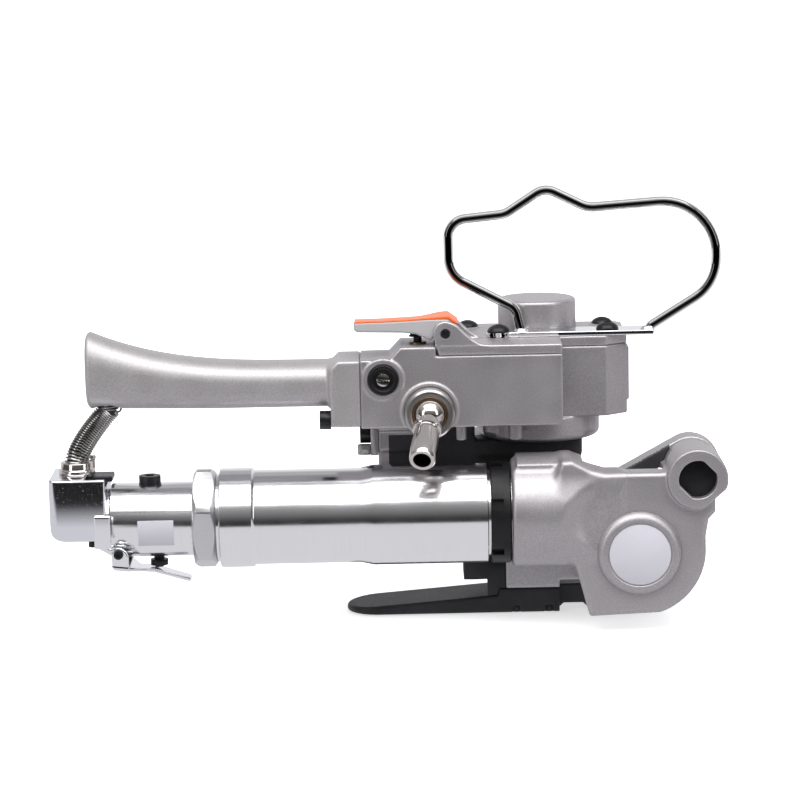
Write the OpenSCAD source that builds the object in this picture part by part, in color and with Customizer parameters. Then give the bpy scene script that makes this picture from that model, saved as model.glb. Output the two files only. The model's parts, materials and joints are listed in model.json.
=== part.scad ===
// Hand-held pneumatic strapping tensioner for plastic strap.
// +X runs along the tool from the handle to the feed wheel, +Y is away from the motor side, +Z is up.
// The origin is on the underside of the sole, below the feed wheel's axis, in the strap's centre plane.

/* [Strap path] */
// Widest strap that the path takes
strap_w = 19; // [16:0.5:19]
// Height of the strap plane above the sole
strap_z = 14.5; // [14.3:0.1:14.7]
// Length of the tongue that slides under the strap
tongue_l = 75; // [55:1:85]

/* [Tension drive] */
// Outer radius of the motor tube at its front end
tube_r = 24; // [23.6:0.1:24.2]
// Number of teeth of the worm wheel
worm_wheel_teeth = 22; // [22:1:22]
// Clearance that every gear tooth is thinned by on each flank
backlash = 0.22; // [0.18:0.01:0.26]

/* [Handle] */
// Height of the grip at its flared end
grip_end_h = 38.4; // [34:0.2:40]
// Height of the grip next to the valve body
grip_neck_h = 22; // [20:0.1:23.5]
// Width of the grip
grip_w = 30; // [26:1:32]

/* [Hanger] */
// Diameter of the hanger wire
wire_d = 4.8; // [4:0.1:5.5]
// Height of the hanger's flat run above the sole
hanger_top_z = 200.2; // [190:0.1:205]

/* [Hidden] */
$fn = 64;

// Feed wheel and its drive
wheel_z = 38.6;                         // height of the feed wheel's axis
case_z = 39.3;                          // height of the centre that the gear case is rounded about
wheel_gap = 0.1;                        // air between feed wheel and gripper at rest
wheel_r = wheel_z - strap_z - wheel_gap;
wheel_w = strap_w + 0.6;
motor_y = -42;                          // the motor's axis runs along X through this y and z
motor_z = 55.8;
worm_wheel_m = 1;
worm_wheel_r = worm_wheel_m * worm_wheel_teeth / 2;
worm_r = motor_z - wheel_z - worm_wheel_r;
worm_lead = atan(worm_wheel_m / (2 * worm_r));
pressure = 20;                          // pressure angle of every gear

// Pivot that the tension head rocks on
pivot_x = 27.6;
pivot_z = 74;
pivot_r = 14.4;
shaft_r = 9;
shaft_flat = 8;                         // half the distance across the shaft's two flats

// Frame
wall_y0 = -17;
wall_y1 = -10.5;
wall_x1 = -24.5;                        // right end of the wall and of the deck
arm_y0 = -29.3;
arm_y1 = -15.7;
body_z0 = 98.4;                         // underside of the valve body
deck_z0 = 79;
deck_z1 = 86;
cover_z0 = 132.7;
cover_z1 = 137.5;
seam_x = -130.7;                        // joint between handle flange and valve body
step_x = -34.6;                         // right end of the valve body
weld_x = -44.5;                          // vertical axis of the weld motor
block_x0 = -84;
block_x1 = -2;
block_y0 = -25;
block_y1 = 26;
front_y = -48;                          // front face of the valve body

// Thumb lever
lever_px = -89.9;
lever_pz = 143.3;
plunger_x = -103;
lever_y0 = -43.6;
lever_y1 = -24.4;

// Air inlet
inlet = [-98, -57, 106.5];
ball_r = 7.5;
nipple_tilt = 32;                       // below horizontal
nipple_turn = 14.5;                     // about the socket's axis

// Motor stations along X
tube_x0 = -199;
tube_x1 = -70.2;
ring_x1 = -60.3;
nut_x0 = -211.4;
nut_x1 = -200.7;
throttle_x0 = -250.9;
elbow_x1 = -252.2;                      // right face of the end block
throttle_r = 17.7;
collar_r = 23.75;                       // left collar of the tube
waist_r = 22.6;
tube_bore = 20;
liner_x0 = -188;
liner_x1 = -136;
planet_teeth = 12;
gear_m = 0.9;
sun_r = gear_m * planet_teeth / 2;
carrier_r = 2 * sun_r;
gear_x0 = -118;
gear_x1 = -104;

module xcyl(x0, x1, r, y = motor_y, z = motor_z) {
    translate([x0, y, z]) rotate([0, 90, 0]) cylinder(h = x1 - x0, r = r);
}

module xcone(x0, x1, r0, r1, y = motor_y, z = motor_z) {
    translate([x0, y, z]) rotate([0, 90, 0]) cylinder(h = x1 - x0, r1 = r0, r2 = r1);
}

module ycyl(y0, y1, r, x, z) {
    translate([x, y0, z]) rotate([-90, 0, 0]) cylinder(h = y1 - y0, r = r);
}

module ycone(y0, y1, r0, r1, x, z) {
    translate([x, y0, z]) rotate([-90, 0, 0]) cylinder(h = y1 - y0, r1 = r0, r2 = r1);
}

module zcyl(z0, z1, r, x, y) {
    translate([x, y, z0]) cylinder(h = z1 - z0, r = r);
}

module zcone(z0, z1, r0, r1, x, y) {
    translate([x, y, z0]) cylinder(h = z1 - z0, r1 = r0, r2 = r1);
}

module span(x0, x1, y0, y1, z0, z1) {
    translate([x0, y0, z0]) cube([x1 - x0, y1 - y0, z1 - z0]);
}

// A profile drawn in X and Z, extruded from y0 to y1
module side(y0, y1) {
    translate([0, y1, 0]) rotate([90, 0, 0]) linear_extrude(y1 - y0) children();
}

// A profile drawn in X and Y, extruded from z0 to z1
module plan(z0, z1) {
    translate([0, 0, z0]) linear_extrude(z1 - z0) children();
}

// Rounds the convex corners of a profile
module soft(r) {
    offset(r = r, $fn = 32) offset(delta = -r) children();
}

module rect(x0, x1, y0, y1) {
    translate([x0, y0]) square([x1 - x0, y1 - y0]);
}

// Points of an arc of radius r about c, from angle a0 to a1
function arc(c, r, a0, a1, n = 16) =
    [for (i = [0:n]) let (a = a0 + (a1 - a0) * i / n) [c[0] + r * cos(a), c[1] + r * sin(a)]];

function unit(v) = v / norm(v);

// A polyline [x, z, radius] with its corners rounded, as a list of points
function rounded(c, n = 8) = [
    for (i = [0:len(c) - 1])
        let (p = [c[i][0], c[i][1]])
        if (i == 0 || i == len(c) - 1) p
        else let (
            u = unit([c[i - 1][0], c[i - 1][1]] - p),
            v = unit([c[i + 1][0], c[i + 1][1]] - p),
            half = acos(u * v) / 2,
            t = c[i][2] / tan(half),
            centre = p + unit(u + v) * c[i][2] / sin(half),
            a0 = atan2((p + u * t - centre)[1], (p + u * t - centre)[0]),
            a1 = atan2((p + v * t - centre)[1], (p + v * t - centre)[0]),
            turn = a1 - a0 > 180 ? a1 - a0 - 360 : a1 - a0 < -180 ? a1 - a0 + 360 : a1 - a0,
            steps = max(3, ceil(n * abs(turn) / 90))
        )
        each [for (k = [0:steps]) centre + c[i][2] * [cos(a0 + turn * k / steps), sin(a0 + turn * k / steps)]]
];

// A loft: rings is a list of point lists of equal length, closed at both ends
module loft(rings) {
    n = len(rings[0]);
    m = len(rings);
    polyhedron(
        points = [for (ring = rings, p = ring) p],
        faces = concat(
            [[for (i = [0:n - 1]) i]],
            [for (k = [0:m - 2], i = [0:n - 1])
                [k * n + i, (k + 1) * n + i, (k + 1) * n + (i + 1) % n, k * n + (i + 1) % n]],
            [[for (i = [n - 1:-1:0]) (m - 1) * n + i]]
        ),
        convexity = 6
    );
}

// A round wire along points in the plane at y
module wire(points, y, r, sides = 14) {
    last = len(points) - 1;
    loft([
        for (i = [0:last])
            let (
                d = unit(points[min(i + 1, last)] - points[max(i - 1, 0)]),
                normal = [-d[1], d[0]]
            )
            [for (s = [0:sides - 1]) let (a = 360 * s / sides)
                [points[i][0] + normal[0] * r * cos(a), y - r * sin(a),
                    points[i][1] + normal[1] * r * cos(a)]]
    ]);
}

module socket_screw(head_r, head_h, shank_r, shank_l, key_r) {
    difference() {
        union() {
            cylinder(h = head_h, r = head_r);
            translate([0, 0, -shank_l]) cylinder(h = shank_l + 0.5, r = shank_r);
        }
        translate([0, 0, head_h * 0.45]) cylinder(h = head_h, r = key_r, $fn = 6);
    }
}

module button_screw(head_r, head_h, shank_r, shank_l) {
    difference() {
        union() {
            rotate_extrude() polygon(concat(
                [[0, 0]], [for (a = [0:10:80]) [head_r * cos(a), head_h * sin(a)]], [[0, head_h]]
            ));
            translate([0, 0, -shank_l]) cylinder(h = shank_l + 0.3, r = shank_r);
        }
        translate([0, 0, head_h * 0.4]) cylinder(h = head_h, r = head_r * 0.38, $fn = 6);
    }
}

// ---- Base and frame ----

tongue_y0 = -16;
tongue_y1 = 15;
block_l = -65;
tongue_x = block_l - tongue_l;
saddle_x = -35.6;
base_z = 12.3;
guide_x1 = -62.1;                       // right end of the strap guide

module base_plate() {
    nose = (tongue_y1 - tongue_y0) / 2;
    mid = (tongue_y1 + tongue_y0) / 2;
    color([0.12, 0.12, 0.13]) difference() {
        union() {
            // tongue: rounded in plan, wedge-shaped in section
            intersection() {
                plan(0, 20) {
                    translate([tongue_x + nose, mid]) circle(nose);
                    rect(tongue_x + nose, saddle_x, tongue_y0, tongue_y1);
                }
                side(tongue_y0 - 1, tongue_y1 + 1) polygon([
                    [tongue_x - 1, 0], [saddle_x, 0], [saddle_x, base_z], [block_l, base_z],
                    [block_l - 1.2, 8.8], [tongue_x - 1, 3]
                ]);
            }
            side(wall_y1, tongue_y1) polygon([
                [saddle_x - 1, 0], [saddle_x + 2, 3], [-24, 3], [-21, 0], [12, 0], [16, 4], [16, base_z],
                [saddle_x - 1, base_z]
            ]);
            side(wall_y1, 13) polygon([
                [saddle_x, base_z - 1], [14, base_z - 1], [14, strap_z - 1.8], [saddle_x, strap_z - 1.8]
            ]);
        }
        // seats of the gripper plate and the weld anvil
        span(-13, 13, -9.6, 9.6, base_z - 2.3, 20);
        span(-60, -36.6, -9.6, 9.6, base_z - 2.3, 20);
        // tapped holes for the frame's screws
        for (x = [-57, -41]) zcyl(-1, base_z + 1, 1.6, x, -13.2);
        for (x = [-57, -41]) zcyl(-1, 3.5, 2.6, x, -13.2);
    }
}

// Serrated steel insert, ribs across the strap
module insert(x0, x1, z0, z1, pitch) {
    difference() {
        span(x0, x1, -9.5, 9.5, z0, z1);
        for (x = [x0 + pitch:pitch:x1 - pitch / 2])
            translate([x, 0, z1]) rotate([90, 0, 0]) cylinder(h = 22, r = 0.45, $fn = 4, center = true);
    }
}

module gripper_plate() color([0.35, 0.35, 0.37]) insert(-12.95, 12.95, base_z - 2.3, strap_z, 2);

module weld_anvil() color([0.35, 0.35, 0.37]) insert(-59.95, -36.65, base_z - 2.3, strap_z, 1.8);

module main_frame() {
    color([0.52, 0.51, 0.53]) difference() {
        union() {
            side(wall_y0, wall_y1) soft(0.8) polygon([
                [-123, body_z0], [-123, 72], [-84, 46], [-82.5, 30], [-62, 30], [-62, base_z],
                [saddle_x, base_z], [saddle_x, 16], [wall_x1, 16], [wall_x1, deck_z1], [-76, deck_z1],
                [-76, body_z0]
            ]);
            // deck that carries the weld motor
            plan(deck_z0, deck_z1) soft(4) rect(-76, wall_x1, wall_y0, 24);
            zcyl(30, deck_z0 + 1, 14, weld_x, 0);
            // left column with its ledge
            span(-123, -105, -24, wall_y1, 82.5, body_z0);
            span(-123, -104, -28, wall_y1, 93.5, body_z0);
            span(-123, -84, wall_y1 - 0.5, 12, 92, body_z0);
            // arm that carries the pivot
            side(arm_y0, arm_y1) hull() {
                translate([pivot_x, pivot_z]) circle(pivot_r);
                translate([-19.8, 52]) circle(11);
            }
            side(arm_y1 - 1, wall_y1) soft(2) rect(-30.8, -13, 40, 63);
        }
        // bush seat of the pivot
        ycyl(arm_y0 - 1, arm_y1 + 1, 10.5, pivot_x, pivot_z);
        // room for the feed shaft as the head rocks
        ycyl(arm_y0 - 1, wall_y1 + 1, 14.5, -1.3, wheel_z + 1.1);
        // bearing seats and shaft passage of the weld drive
        zcyl(deck_z0 + 1, deck_z1 + 1, 11, weld_x, 0);
        zcyl(29, deck_z1, 6.2, weld_x, 0);
        zcyl(22, 50, 12.05, weld_x, 0);
        // tapped holes
        for (x = [-57, -41]) zcyl(base_z - 1, 26, 1.6, x, -13.2);
        xcyl(-124, -110, 2.5, -17, 91.5);
        zcyl(29, 39, 1.3, -77.5, -13.2);
    }
}

module strap_guide() {
    color([0.1, 0.1, 0.11]) difference() {
        union() {
            span(-82.5, guide_x1, -16, 12, 17, 30);
            side(-16, wall_y1) polygon([
                [-71, 17.5], [-71, 8.6], [block_l - 1.3, 9], [block_l, base_z + 0.1],
                [guide_x1, base_z + 0.1], [guide_x1, 17.5]
            ]);
        }
        // slot of the cutter blade, open towards the arm that drives it
        span(-67.05, -64.95, -9.6, 9.6, 16, 31);
        span(-65, guide_x1 + 1, -5.2, 5.2, 22, 31);
        zcyl(16, 31, 1.3, -77.5, -13.2);
        zcyl(16, 19.4, 2.5, -77.5, -13.2);
    }
}

module end_plate() {
    color([0.52, 0.51, 0.53]) difference() {
        union() {
            span(-126.5, -123, -24, -8, 81.2, 98.2);
            // stop with a rounded nose
            plan(81.3, 86) soft(2.4) rect(-133, -126, -23, -18);
        }
        xcyl(-127, -122, 2.8, -17, 91.5);
    }
}

module frame_screws() {
    color([0.06, 0.06, 0.07]) {
        translate([-126.5, -17, 91.5]) rotate([0, -90, 0]) socket_screw(5.3, 5.2, 2.4, 14, 2.5);
        for (x = [-57, -41]) translate([x, -13.2, 3.5]) rotate([180, 0, 0])
            socket_screw(2.5, 3.3, 1.5, 20, 1.3);
        translate([-77.5, -13.2, 19.3]) rotate([180, 0, 0]) socket_screw(2.3, 2.2, 1.2, 18, 1.1);
    }
}

module pivot_bush() {
    color([0.72, 0.55, 0.25]) difference() {
        ycyl(arm_y0, arm_y1, 10.5, pivot_x, pivot_z);
        ycyl(arm_y0 - 1, arm_y1 + 1, shaft_r - 0.95, pivot_x, pivot_z);
    }
}

// ---- Weld motor ----

module weld_motor_housing() {
    color([0.52, 0.51, 0.53]) difference() {
        union() {
            plan(body_z0, cover_z0) polygon([
                [block_x0, block_y0], [-12.6, block_y0], [block_x1, -17], [block_x1, block_y1 - 4],
                [block_x1 - 4, block_y1], [block_x0 + 4, block_y1], [block_x0, block_y1 - 4]
            ]);
            zcyl(deck_z1, body_z0 + 1, 24.9, weld_x, 0);
            zcyl(deck_z1 + 3, body_z0, 30, weld_x, 0);
            zcone(deck_z1 + 0.5, deck_z1 + 3.01, 27, 30, weld_x, 0);
            // pad that the data plate sits on
            plan(104, 130) polygon([[block_x1 - 1, -14], [block_x1 + 1.5, -11], [block_x1 + 1.5, 18],
                [block_x1 - 1, 21]]);
        }
        zcyl(102, cover_z0 + 1, 17, weld_x, 0);
        zcyl(deck_z1 - 1, 103, 6.2, weld_x, 0);
        zcyl(96, 103, 11, weld_x, 0);
        for (p = screw_places) zcyl(112, cover_z0 + 1, 2.6, p[0], p[1]);
    }
}

screw_places = [[-78, 13], [-64, -21.6], [-11.8, 15], [-11.4, -18.8]];

module weld_bearings() {
    color([0.7, 0.7, 0.72]) for (z = [deck_z0 + 1, 96]) difference() {
        zcyl(z, z + 6, 11, weld_x, 0);
        zcyl(z - 1, z + 7, 5.02, weld_x, 0);
    }
}

module weld_rotor() {
    color([0.6, 0.6, 0.62]) {
        difference() {
            zcyl(104, 129, 15.5, weld_x, 0);
            for (i = [0:4]) translate([weld_x, 0, 0]) rotate(72 * i) span(8, 17, -0.8, 0.8, 103, 130);
        }
        zcyl(34, 104.5, 4.98, weld_x, 0);
        // eccentric that shakes the weld pad
        zcyl(19, 34.5, 3.2, weld_x, 0.8);
    }
    color([0.45, 0.35, 0.2]) for (i = [0:4])
        translate([weld_x, 0, 0]) rotate(72 * i) span(8, 16.4, -0.75, 0.75, 104.2, 128.8);
}

module weld_carriage() {
    color([0.4, 0.4, 0.42]) difference() {
        union() {
            zcyl(26, 44, 12, weld_x, 0);
            span(weld_x - 10.5, weld_x + 10.5, -8, 8, 22, 26.5);
            // arm that carries the cutter blade
            span(-65, weld_x, -5, 5, 26, 29.5);
        }
        zcyl(20, 45, 7.4, weld_x, 0);
        // dovetail that the weld pad slides in
        span(weld_x - 7.6, weld_x + 7.6, -13, 13, 21, 24.1);
    }
}

module weld_pad() {
    color([0.3, 0.3, 0.32]) difference() {
        union() {
            insert_pad(weld_x - 10.4, weld_x + 10.4, 16.9, 21.9);
            span(weld_x - 7.5, weld_x + 7.5, -8, 8, 21.8, 24);
        }
        zcyl(18.4, 25, 5.4, weld_x, 0);
    }
}

module insert_pad(x0, x1, z0, z1) {
    difference() {
        span(x0, x1, -8, 8, z0, z1);
        for (x = [x0 + 1.8:1.8:x1 - 0.9])
            translate([x, 0, z0]) rotate([90, 0, 0]) cylinder(h = 20, r = 0.45, $fn = 4, center = true);
    }
}

module cutter_blade() {
    color([0.75, 0.75, 0.78]) side(-9.5, 9.5) polygon([[-67, 29], [-65, 29], [-65, 17.4], [-67, 18.8]]);
}

// ---- Valve body, cover, handle ----

module valve_body() {
    color([0.52, 0.51, 0.53]) difference() {
        union() {
            side(front_y, -14) soft(1) polygon([
                [seam_x, body_z0], [block_x0, body_z0], [block_x0, cover_z0], [-93.2, cover_z0],
                [-94.6, cover_z0], [-94.6, 137.2], [-111.2, 137.2], [-116.2, 131.6], [seam_x, 131.4]
            ]);
            side(front_y, block_y0) soft(0.6) polygon([
                [block_x0 - 4, body_z0], [step_x - 2, body_z0], [step_x, body_z0 + 1.5], [step_x, cover_z0],
                [block_x0 - 4, cover_z0]
            ]);
            // raised boss round the timer
            ycyl(front_y - 0.8, front_y + 1, 10, -119.8, 122);
        }
        ycyl(front_y - 2, -22, 7.2, -119.8, 122);
        ycyl(front_y - 1, -30, 9, inlet[0], inlet[2]);
        ycyl(front_y - 1, front_y + 3, 11.85, inlet[0], inlet[2]);
        zcyl(118, 138, 4.2, plunger_x, -34);
        zcyl(104, 119, 2.2, plunger_x, -34);
        // air passage to the handle, and the handle screw's hole
        xcyl(seam_x - 1, -100, 5, -31, 116);
        xcyl(seam_x - 1, -119, 2.1, -42, handle_screw_z);
        zcyl(96, 108, 2.55, -83, -40);
        zcyl(96, 108, 3.5, -57, -36);
    }
    // dowels whose ends show under the body
    color([0.6, 0.6, 0.62]) {
        zcyl(91, 107.9, 2.5, -83, -40);
        zcyl(90, 107.9, 3.4, -57, -36);
    }
}

// Raised cheek of the cover that holds one end of the lever pin
module cheek() {
    polygon(concat(
        [[-93.2, cover_z0 + 1], [-94.9, 137.9]],
        arc([lever_px, lever_pz], 6.2, 205, 60, 14),
        [[-83.5, 146.4], [-79.6, 142.6], [-76, 139.8], [-71.5, cover_z1 + 0.05], [-66, cover_z1 - 0.4],
            [-66, cover_z0 + 1]]
    ));
}

module top_cover() {
    color([0.55, 0.54, 0.56]) difference() {
        union() {
            plan(cover_z0, cover_z1) union() {
                polygon([
                    [-93.2, front_y], [step_x, front_y], [step_x, block_y0], [-12.6, block_y0],
                    [block_x1, -17], [block_x1, block_y1 - 4], [block_x1 - 4, block_y1],
                    [block_x0 + 4, block_y1], [block_x0, block_y1 - 4], [block_x0, -18], [-93.2, -18]
                ]);
            }
            side(front_y, lever_y0 - 0.3) cheek();
            side(lever_y1 + 0.3, -19.8) cheek();
            // dome over the weld motor
            zcyl(cover_z1 - 0.5, 152, 19, weld_x, 0);
            zcone(151.99, 153.6, 19, 16.6, weld_x, 0);
            zcone(cover_z1, cover_z1 + 1.4, 20.4, 19, weld_x, 0);
        }
        zcyl(cover_z0 - 1, 149, 15.5, weld_x, 0);
        // room for the lever between the cheeks
        ycyl(lever_y0 - 0.3, lever_y1 + 0.3, 9.4, lever_px, lever_pz);
        ycyl(front_y - 1, -19, 2.05, lever_px, lever_pz);
        for (p = screw_places) zcyl(cover_z0 - 1, cover_z1 + 1, 2.8, p[0], p[1]);
    }
}

module cover_screws() {
    color([0.06, 0.06, 0.07]) for (i = [0:3])
        translate([screw_places[i][0], screw_places[i][1], i % 2 == 1 ? cover_z1 + 2.45 : cover_z1])
            button_screw(5.4, 3.6, 2.55, 20);
}

hanger_y = -20.5;

// Corners of the hanger wire: x, z and bend radius
hanger_corners = [
    [-52.8, cover_z1 + 1.2, 0], [-55.5, 151, 7], [-87.3, 167.8, 13], [-87.4, hanger_top_z - 6.2, 9],
    [-60, hanger_top_z - 3.6, 12], [-40.8, hanger_top_z + 8.8, 9], [-20.6, hanger_top_z - 1.2, 14],
    [41.6, hanger_top_z + 2.8, 26], [40.8, 160.6, 22], [9.4, 141.4, 3], [8, cover_z1 + 1.2, 0]
];

module hanger_bail() {
    color([0.8, 0.8, 0.82]) {
        difference() {
            plan(cover_z1, cover_z1 + 2.4) soft(1.4) union() {
                translate(screw_places[1]) circle(5.9);
                rect(-64, -55, hanger_y - 4.3, -15.7);
                rect(-58, 10.5, hanger_y - 4.3, -9.2);
            }
            for (i = [1, 3])
                zcyl(cover_z1 - 1, cover_z1 + 4, 2.8, screw_places[i][0], screw_places[i][1]);
            // the plate is notched round the dome
            zcyl(cover_z1 - 1, cover_z1 + 4, 20.6, weld_x, 0);
        }
        wire(rounded(hanger_corners), hanger_y, wire_d / 2);
    }
}

// One ring of the grip: a squarish oval across the handle
function grip_ring(x, zt, zb, w) = [
    for (i = [0:31])
        let (
            a = 360 * i / 32,
            c = cos(a),
            s = sin(a),
            e = 0.72
        )
        [x, -31 + w / 2 * sign(c) * pow(abs(c), e), (zt + zb) / 2 + (zt - zb) / 2 * sign(s) * pow(abs(s), e)]
];

grip_x0 = -261.4;
grip_x1 = -145;
handle_screw_z = 102.2;
grip_base_z = 107.9;
grip_neck_z = grip_base_z + grip_neck_h - 0.2;
grip_flare_x = -150;

// Top line of the grip: flat along the neck, rising to the flared end
function grip_top(x) =
    let (t = max(0, (grip_flare_x - x) / (grip_flare_x - grip_x0)))
    grip_neck_z + (grip_end_h + grip_base_z - grip_neck_z) * pow(t, 3.1);

module handle_grip() {
    color([0.6, 0.6, 0.61]) difference() {
        union() {
            loft([
                for (k = [0:20])
                    let (
                        x = grip_x0 + (grip_x1 + 1 - grip_x0) * k / 20,
                        shrink = k == 0 ? 1.6 : 0
                    )
                    grip_ring(k == 0 ? x : max(x, grip_x0 + 1.6), grip_top(x) - shrink,
                        grip_base_z + 1.2 * (k / 20 < 0.5 ? 1 - k / 10 : 0) - 0.3 + shrink,
                        grip_w - 2 * shrink)
            ]);
            side(front_y, -14) soft(1.5) rect(grip_x1, seam_x, 99.2, 131.2);
        }
        // air passage along the grip, with the port where the hose enters
        xcyl(-256, seam_x + 1, 5, -31, 118);
        zcyl(98, 118, 7.8, -251.5, -33.2);
        xcyl(grip_x1 - 1, seam_x + 1, 2.2, -42, handle_screw_z);
    }
}

module handle_screws() {
    color([0.06, 0.06, 0.07]) translate([grip_x1, -42, handle_screw_z]) rotate([0, -90, 0])
        socket_screw(4.5, 5.4, 2, 24, 2.2);
}

// ---- Valves, lever and air inlet ----

module inlet_socket() {
    color([0.68, 0.67, 0.66]) difference() {
        union() {
            ycyl(inlet[1] - 0.6, front_y + 3, 11.8, inlet[0], inlet[2]);
            ycone(inlet[1] - 1.6, inlet[1] - 0.59, 10.9, 11.8, inlet[0], inlet[2]);
            ycyl(front_y + 2.9, -36, 8.95, inlet[0], inlet[2]);
        }
        ycyl(inlet[1] - 3, inlet[1] + 6.6, 8.65, inlet[0], inlet[2]);
        ycyl(inlet[1] - 3, -35, 5.5, inlet[0], inlet[2]);
    }
}

module swivel_ring() {
    seat = ball_r + 0.06;
    color([0.5, 0.36, 0.2]) translate(inlet) rotate([-90, 0, 0]) rotate_extrude() polygon(concat(
        [[8.6, 6.5], [8.6, -2.4]], arc([0, 0], seat, asin(-2.4 / seat), asin(5.4 / seat), 12), [[5.2, 6.5]]
    ));
}

// Outline of the nipple: distance from the ball's centre, radius
nipple_outline = [
    [0, 4.2], [6.2, 4.2], [6.2, 4.9], [9.5, 4.9], [9.5, 6.9], [12.2, 6.9], [12.8, 6.3], [18.2, 6.3],
    [18.6, 5.4], [21.4, 5.4], [21.8, 6.5], [29.2, 6.5], [33, 5.6], [33, 4.2]
];

module inlet_nipple() {
    color([0.78, 0.76, 0.74]) translate(inlet) rotate([0, nipple_turn, 0]) rotate([90 + nipple_tilt, 0, 0])
        difference() {
            union() {
                sphere(r = ball_r, $fn = 96);
                rotate_extrude() polygon([for (p = nipple_outline) [p[1], p[0]]]);
            }
            translate([0, 0, -9]) cylinder(h = 50, r = 4.2);
        }
}

module timer_bezel() {
    color([0.08, 0.08, 0.09]) difference() {
        ycyl(front_y - 1.7, -23, 7.1, -119.8, 122);
        ycyl(front_y - 3, front_y, 5.3, -119.8, 122);
        ycyl(front_y - 3, -22, 3.15, -119.8, 122);
    }
}

module timer_screw() {
    color([0.55, 0.5, 0.4]) difference() {
        ycyl(front_y - 1.3, -24, 3.1, -119.8, 122);
        span(-123, -116.6, front_y - 2, front_y - 0.3, 121.5, 122.5);
    }
}

module lever_pin() {
    color([0.7, 0.7, 0.72]) ycyl(front_y - 0.4, -19.5, 2, lever_px, lever_pz);
}

module thumb_lever() {
    color([0.62, 0.61, 0.63]) difference() {
        side(lever_y0, lever_y1) polygon(concat(
            [[-131.5, 144.4], [-133, 145.6], [-132.6, 147.3], [-110, 147.8], [-94, 148.6], [-88.4, 149.3],
                [-84.4, 146.8]],
            arc([lever_px, lever_pz], 5.6, 8, -170, 14),
            [[-96.6, 140.6], [-99.9, 144.45]]
        ));
        ycyl(lever_y0 - 1, lever_y1 + 1, 2.06, lever_px, lever_pz);
    }
}

module lever_pad() {
    color([0.93, 0.33, 0.16]) side(lever_y0 + 0.4, lever_y1 - 0.4) polygon([
        [-133.2, 147.32], [-133, 148.9], [-132.2, 149.4], [-110, 149.9], [-95, 150.7], [-88.2, 151.2],
        [-83.4, 147.6], [-84.3, 146.9], [-88.4, 149.35], [-94, 148.65], [-110, 147.85], [-132.6, 147.35]
    ]);
}

module plunger_bush() {
    color([0.6, 0.58, 0.5]) difference() {
        zcyl(126, 138, 4.15, plunger_x, -34);
        zcyl(125, 139, 2.05, plunger_x, -34);
    }
}

module valve_plunger() {
    color([0.08, 0.08, 0.09]) {
        zcyl(109, 141, 2, plunger_x, -34);
        zcone(140.6, 144.25, 4.4, 1.3, plunger_x, -34);
        zcyl(122.4, 124, 3.9, plunger_x, -34);
    }
}

module plunger_spring() {
    turns = 5;
    color([0.7, 0.7, 0.72]) loft([
        for (i = [0:turns * 16])
            let (
                a = 360 * i / 16,
                c = [plunger_x + 3.1 * cos(a), -34 + 3.1 * sin(a), 118.4 + 3.5 * i / (turns * 16)],
                d = [cos(a), sin(a)]
            )
            [for (k = [0:5]) let (b = 60 * k)
                [c[0] + d[0] * 0.3 * cos(b), c[1] + d[1] * 0.3 * cos(b), c[2] - 0.3 * sin(b)]]
    ]);
}

// ---- Tension head ----

module tension_housing() {
    color([0.55, 0.54, 0.56]) difference() {
        union() {
            // neck that the motor tube screws into
            intersection() {
                xcyl(-60, -33, 26.2);
                span(-61, -30, -70, -18.3, 20, 90);
            }
            intersection() {
                xcone(-33.01, -24, 26.2, 17);
                span(-34, -23, -70, -31, 20, 90);
            }
            intersection() {
                span(-58.3, -38, -54, -30, 70, 83.6);
                xcyl(-60, -33, 27.8);
            }
            // gear case
            side(-62, -31) soft(1.2) polygon(concat(
                [[-24, 7.8]], arc([0, case_z], 31.8, -72, 8, 14),
                [[36.5, 57], [36.5, 70], [11, 77], [-18, 77], [-33.9, 83.9], [-38, 81], [-38, 37],
                    [-32.6, 36], [-30, 26], [-27.4, 17]]
            ));
            // boss and hub of the pivot
            ycyl(-66, -41.3, pivot_r, pivot_x, pivot_z);
            ycyl(-41.4, -29.6, pivot_r - 1, pivot_x, pivot_z);
            // rear boss of the feed shaft
            ycyl(-31.1, -12, 10.5, 0, wheel_z);
        }
        // lower right of the pivot boss is cut off by a flat
        translate([pivot_x, -68, pivot_z]) rotate([0, 40, 0]) translate([12.4, 0, -20]) cube([10, 30, 40]);
        // keyed bore of the pivot shaft
        side(-67, -29) translate([pivot_x, pivot_z]) intersection() {
            circle(shaft_r + 0.03);
            rotate(-45) square([40, 2 * shaft_flat + 0.06], center = true);
        }
        // bores of the drive along X
        xcyl(-61, -50, 21.1);
        xcyl(-50.1, -45, 12.5);
        xcyl(-46, -37.9, 11);
        xcyl(-38, 15, worm_r + 1.4);
        xcyl(14, 34, 8.05);
        // bores of the feed shaft along Y
        ycyl(-63, -36, 13.05, 0, wheel_z);
        ycyl(-37, -25, 8.05, 0, wheel_z);
        ycyl(-26, -11, 6.3, 0, wheel_z);
        // pocket in the top of the case
        side(-56, -37) soft(2) polygon([[-14, 90], [-12, 67], [10, 67], [12, 90]]);
    }
}

module wheel_cap() {
    color([0.55, 0.54, 0.56]) difference() {
        union() {
            ycyl(-65, -62, 20, 0, wheel_z);
            ycone(-66.2, -64.99, 18.6, 20, 0, wheel_z);
            ycyl(-62.1, -51, 13, 0, wheel_z);
        }
        ycyl(-67, -65.6, 15.2, 0, wheel_z);
        ycyl(-57, -50, 8.05, 0, wheel_z);
    }
}

module cap_disc() color([0.9, 0.9, 0.92]) ycyl(-66, -65.6, 14.5, 0, wheel_z);

module worm_end_plug() {
    color([0.3, 0.3, 0.32]) difference() {
        xcyl(21.2, 31, 8);
        xcyl(27, 32, 4, $fn = 6);
    }
}

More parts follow.
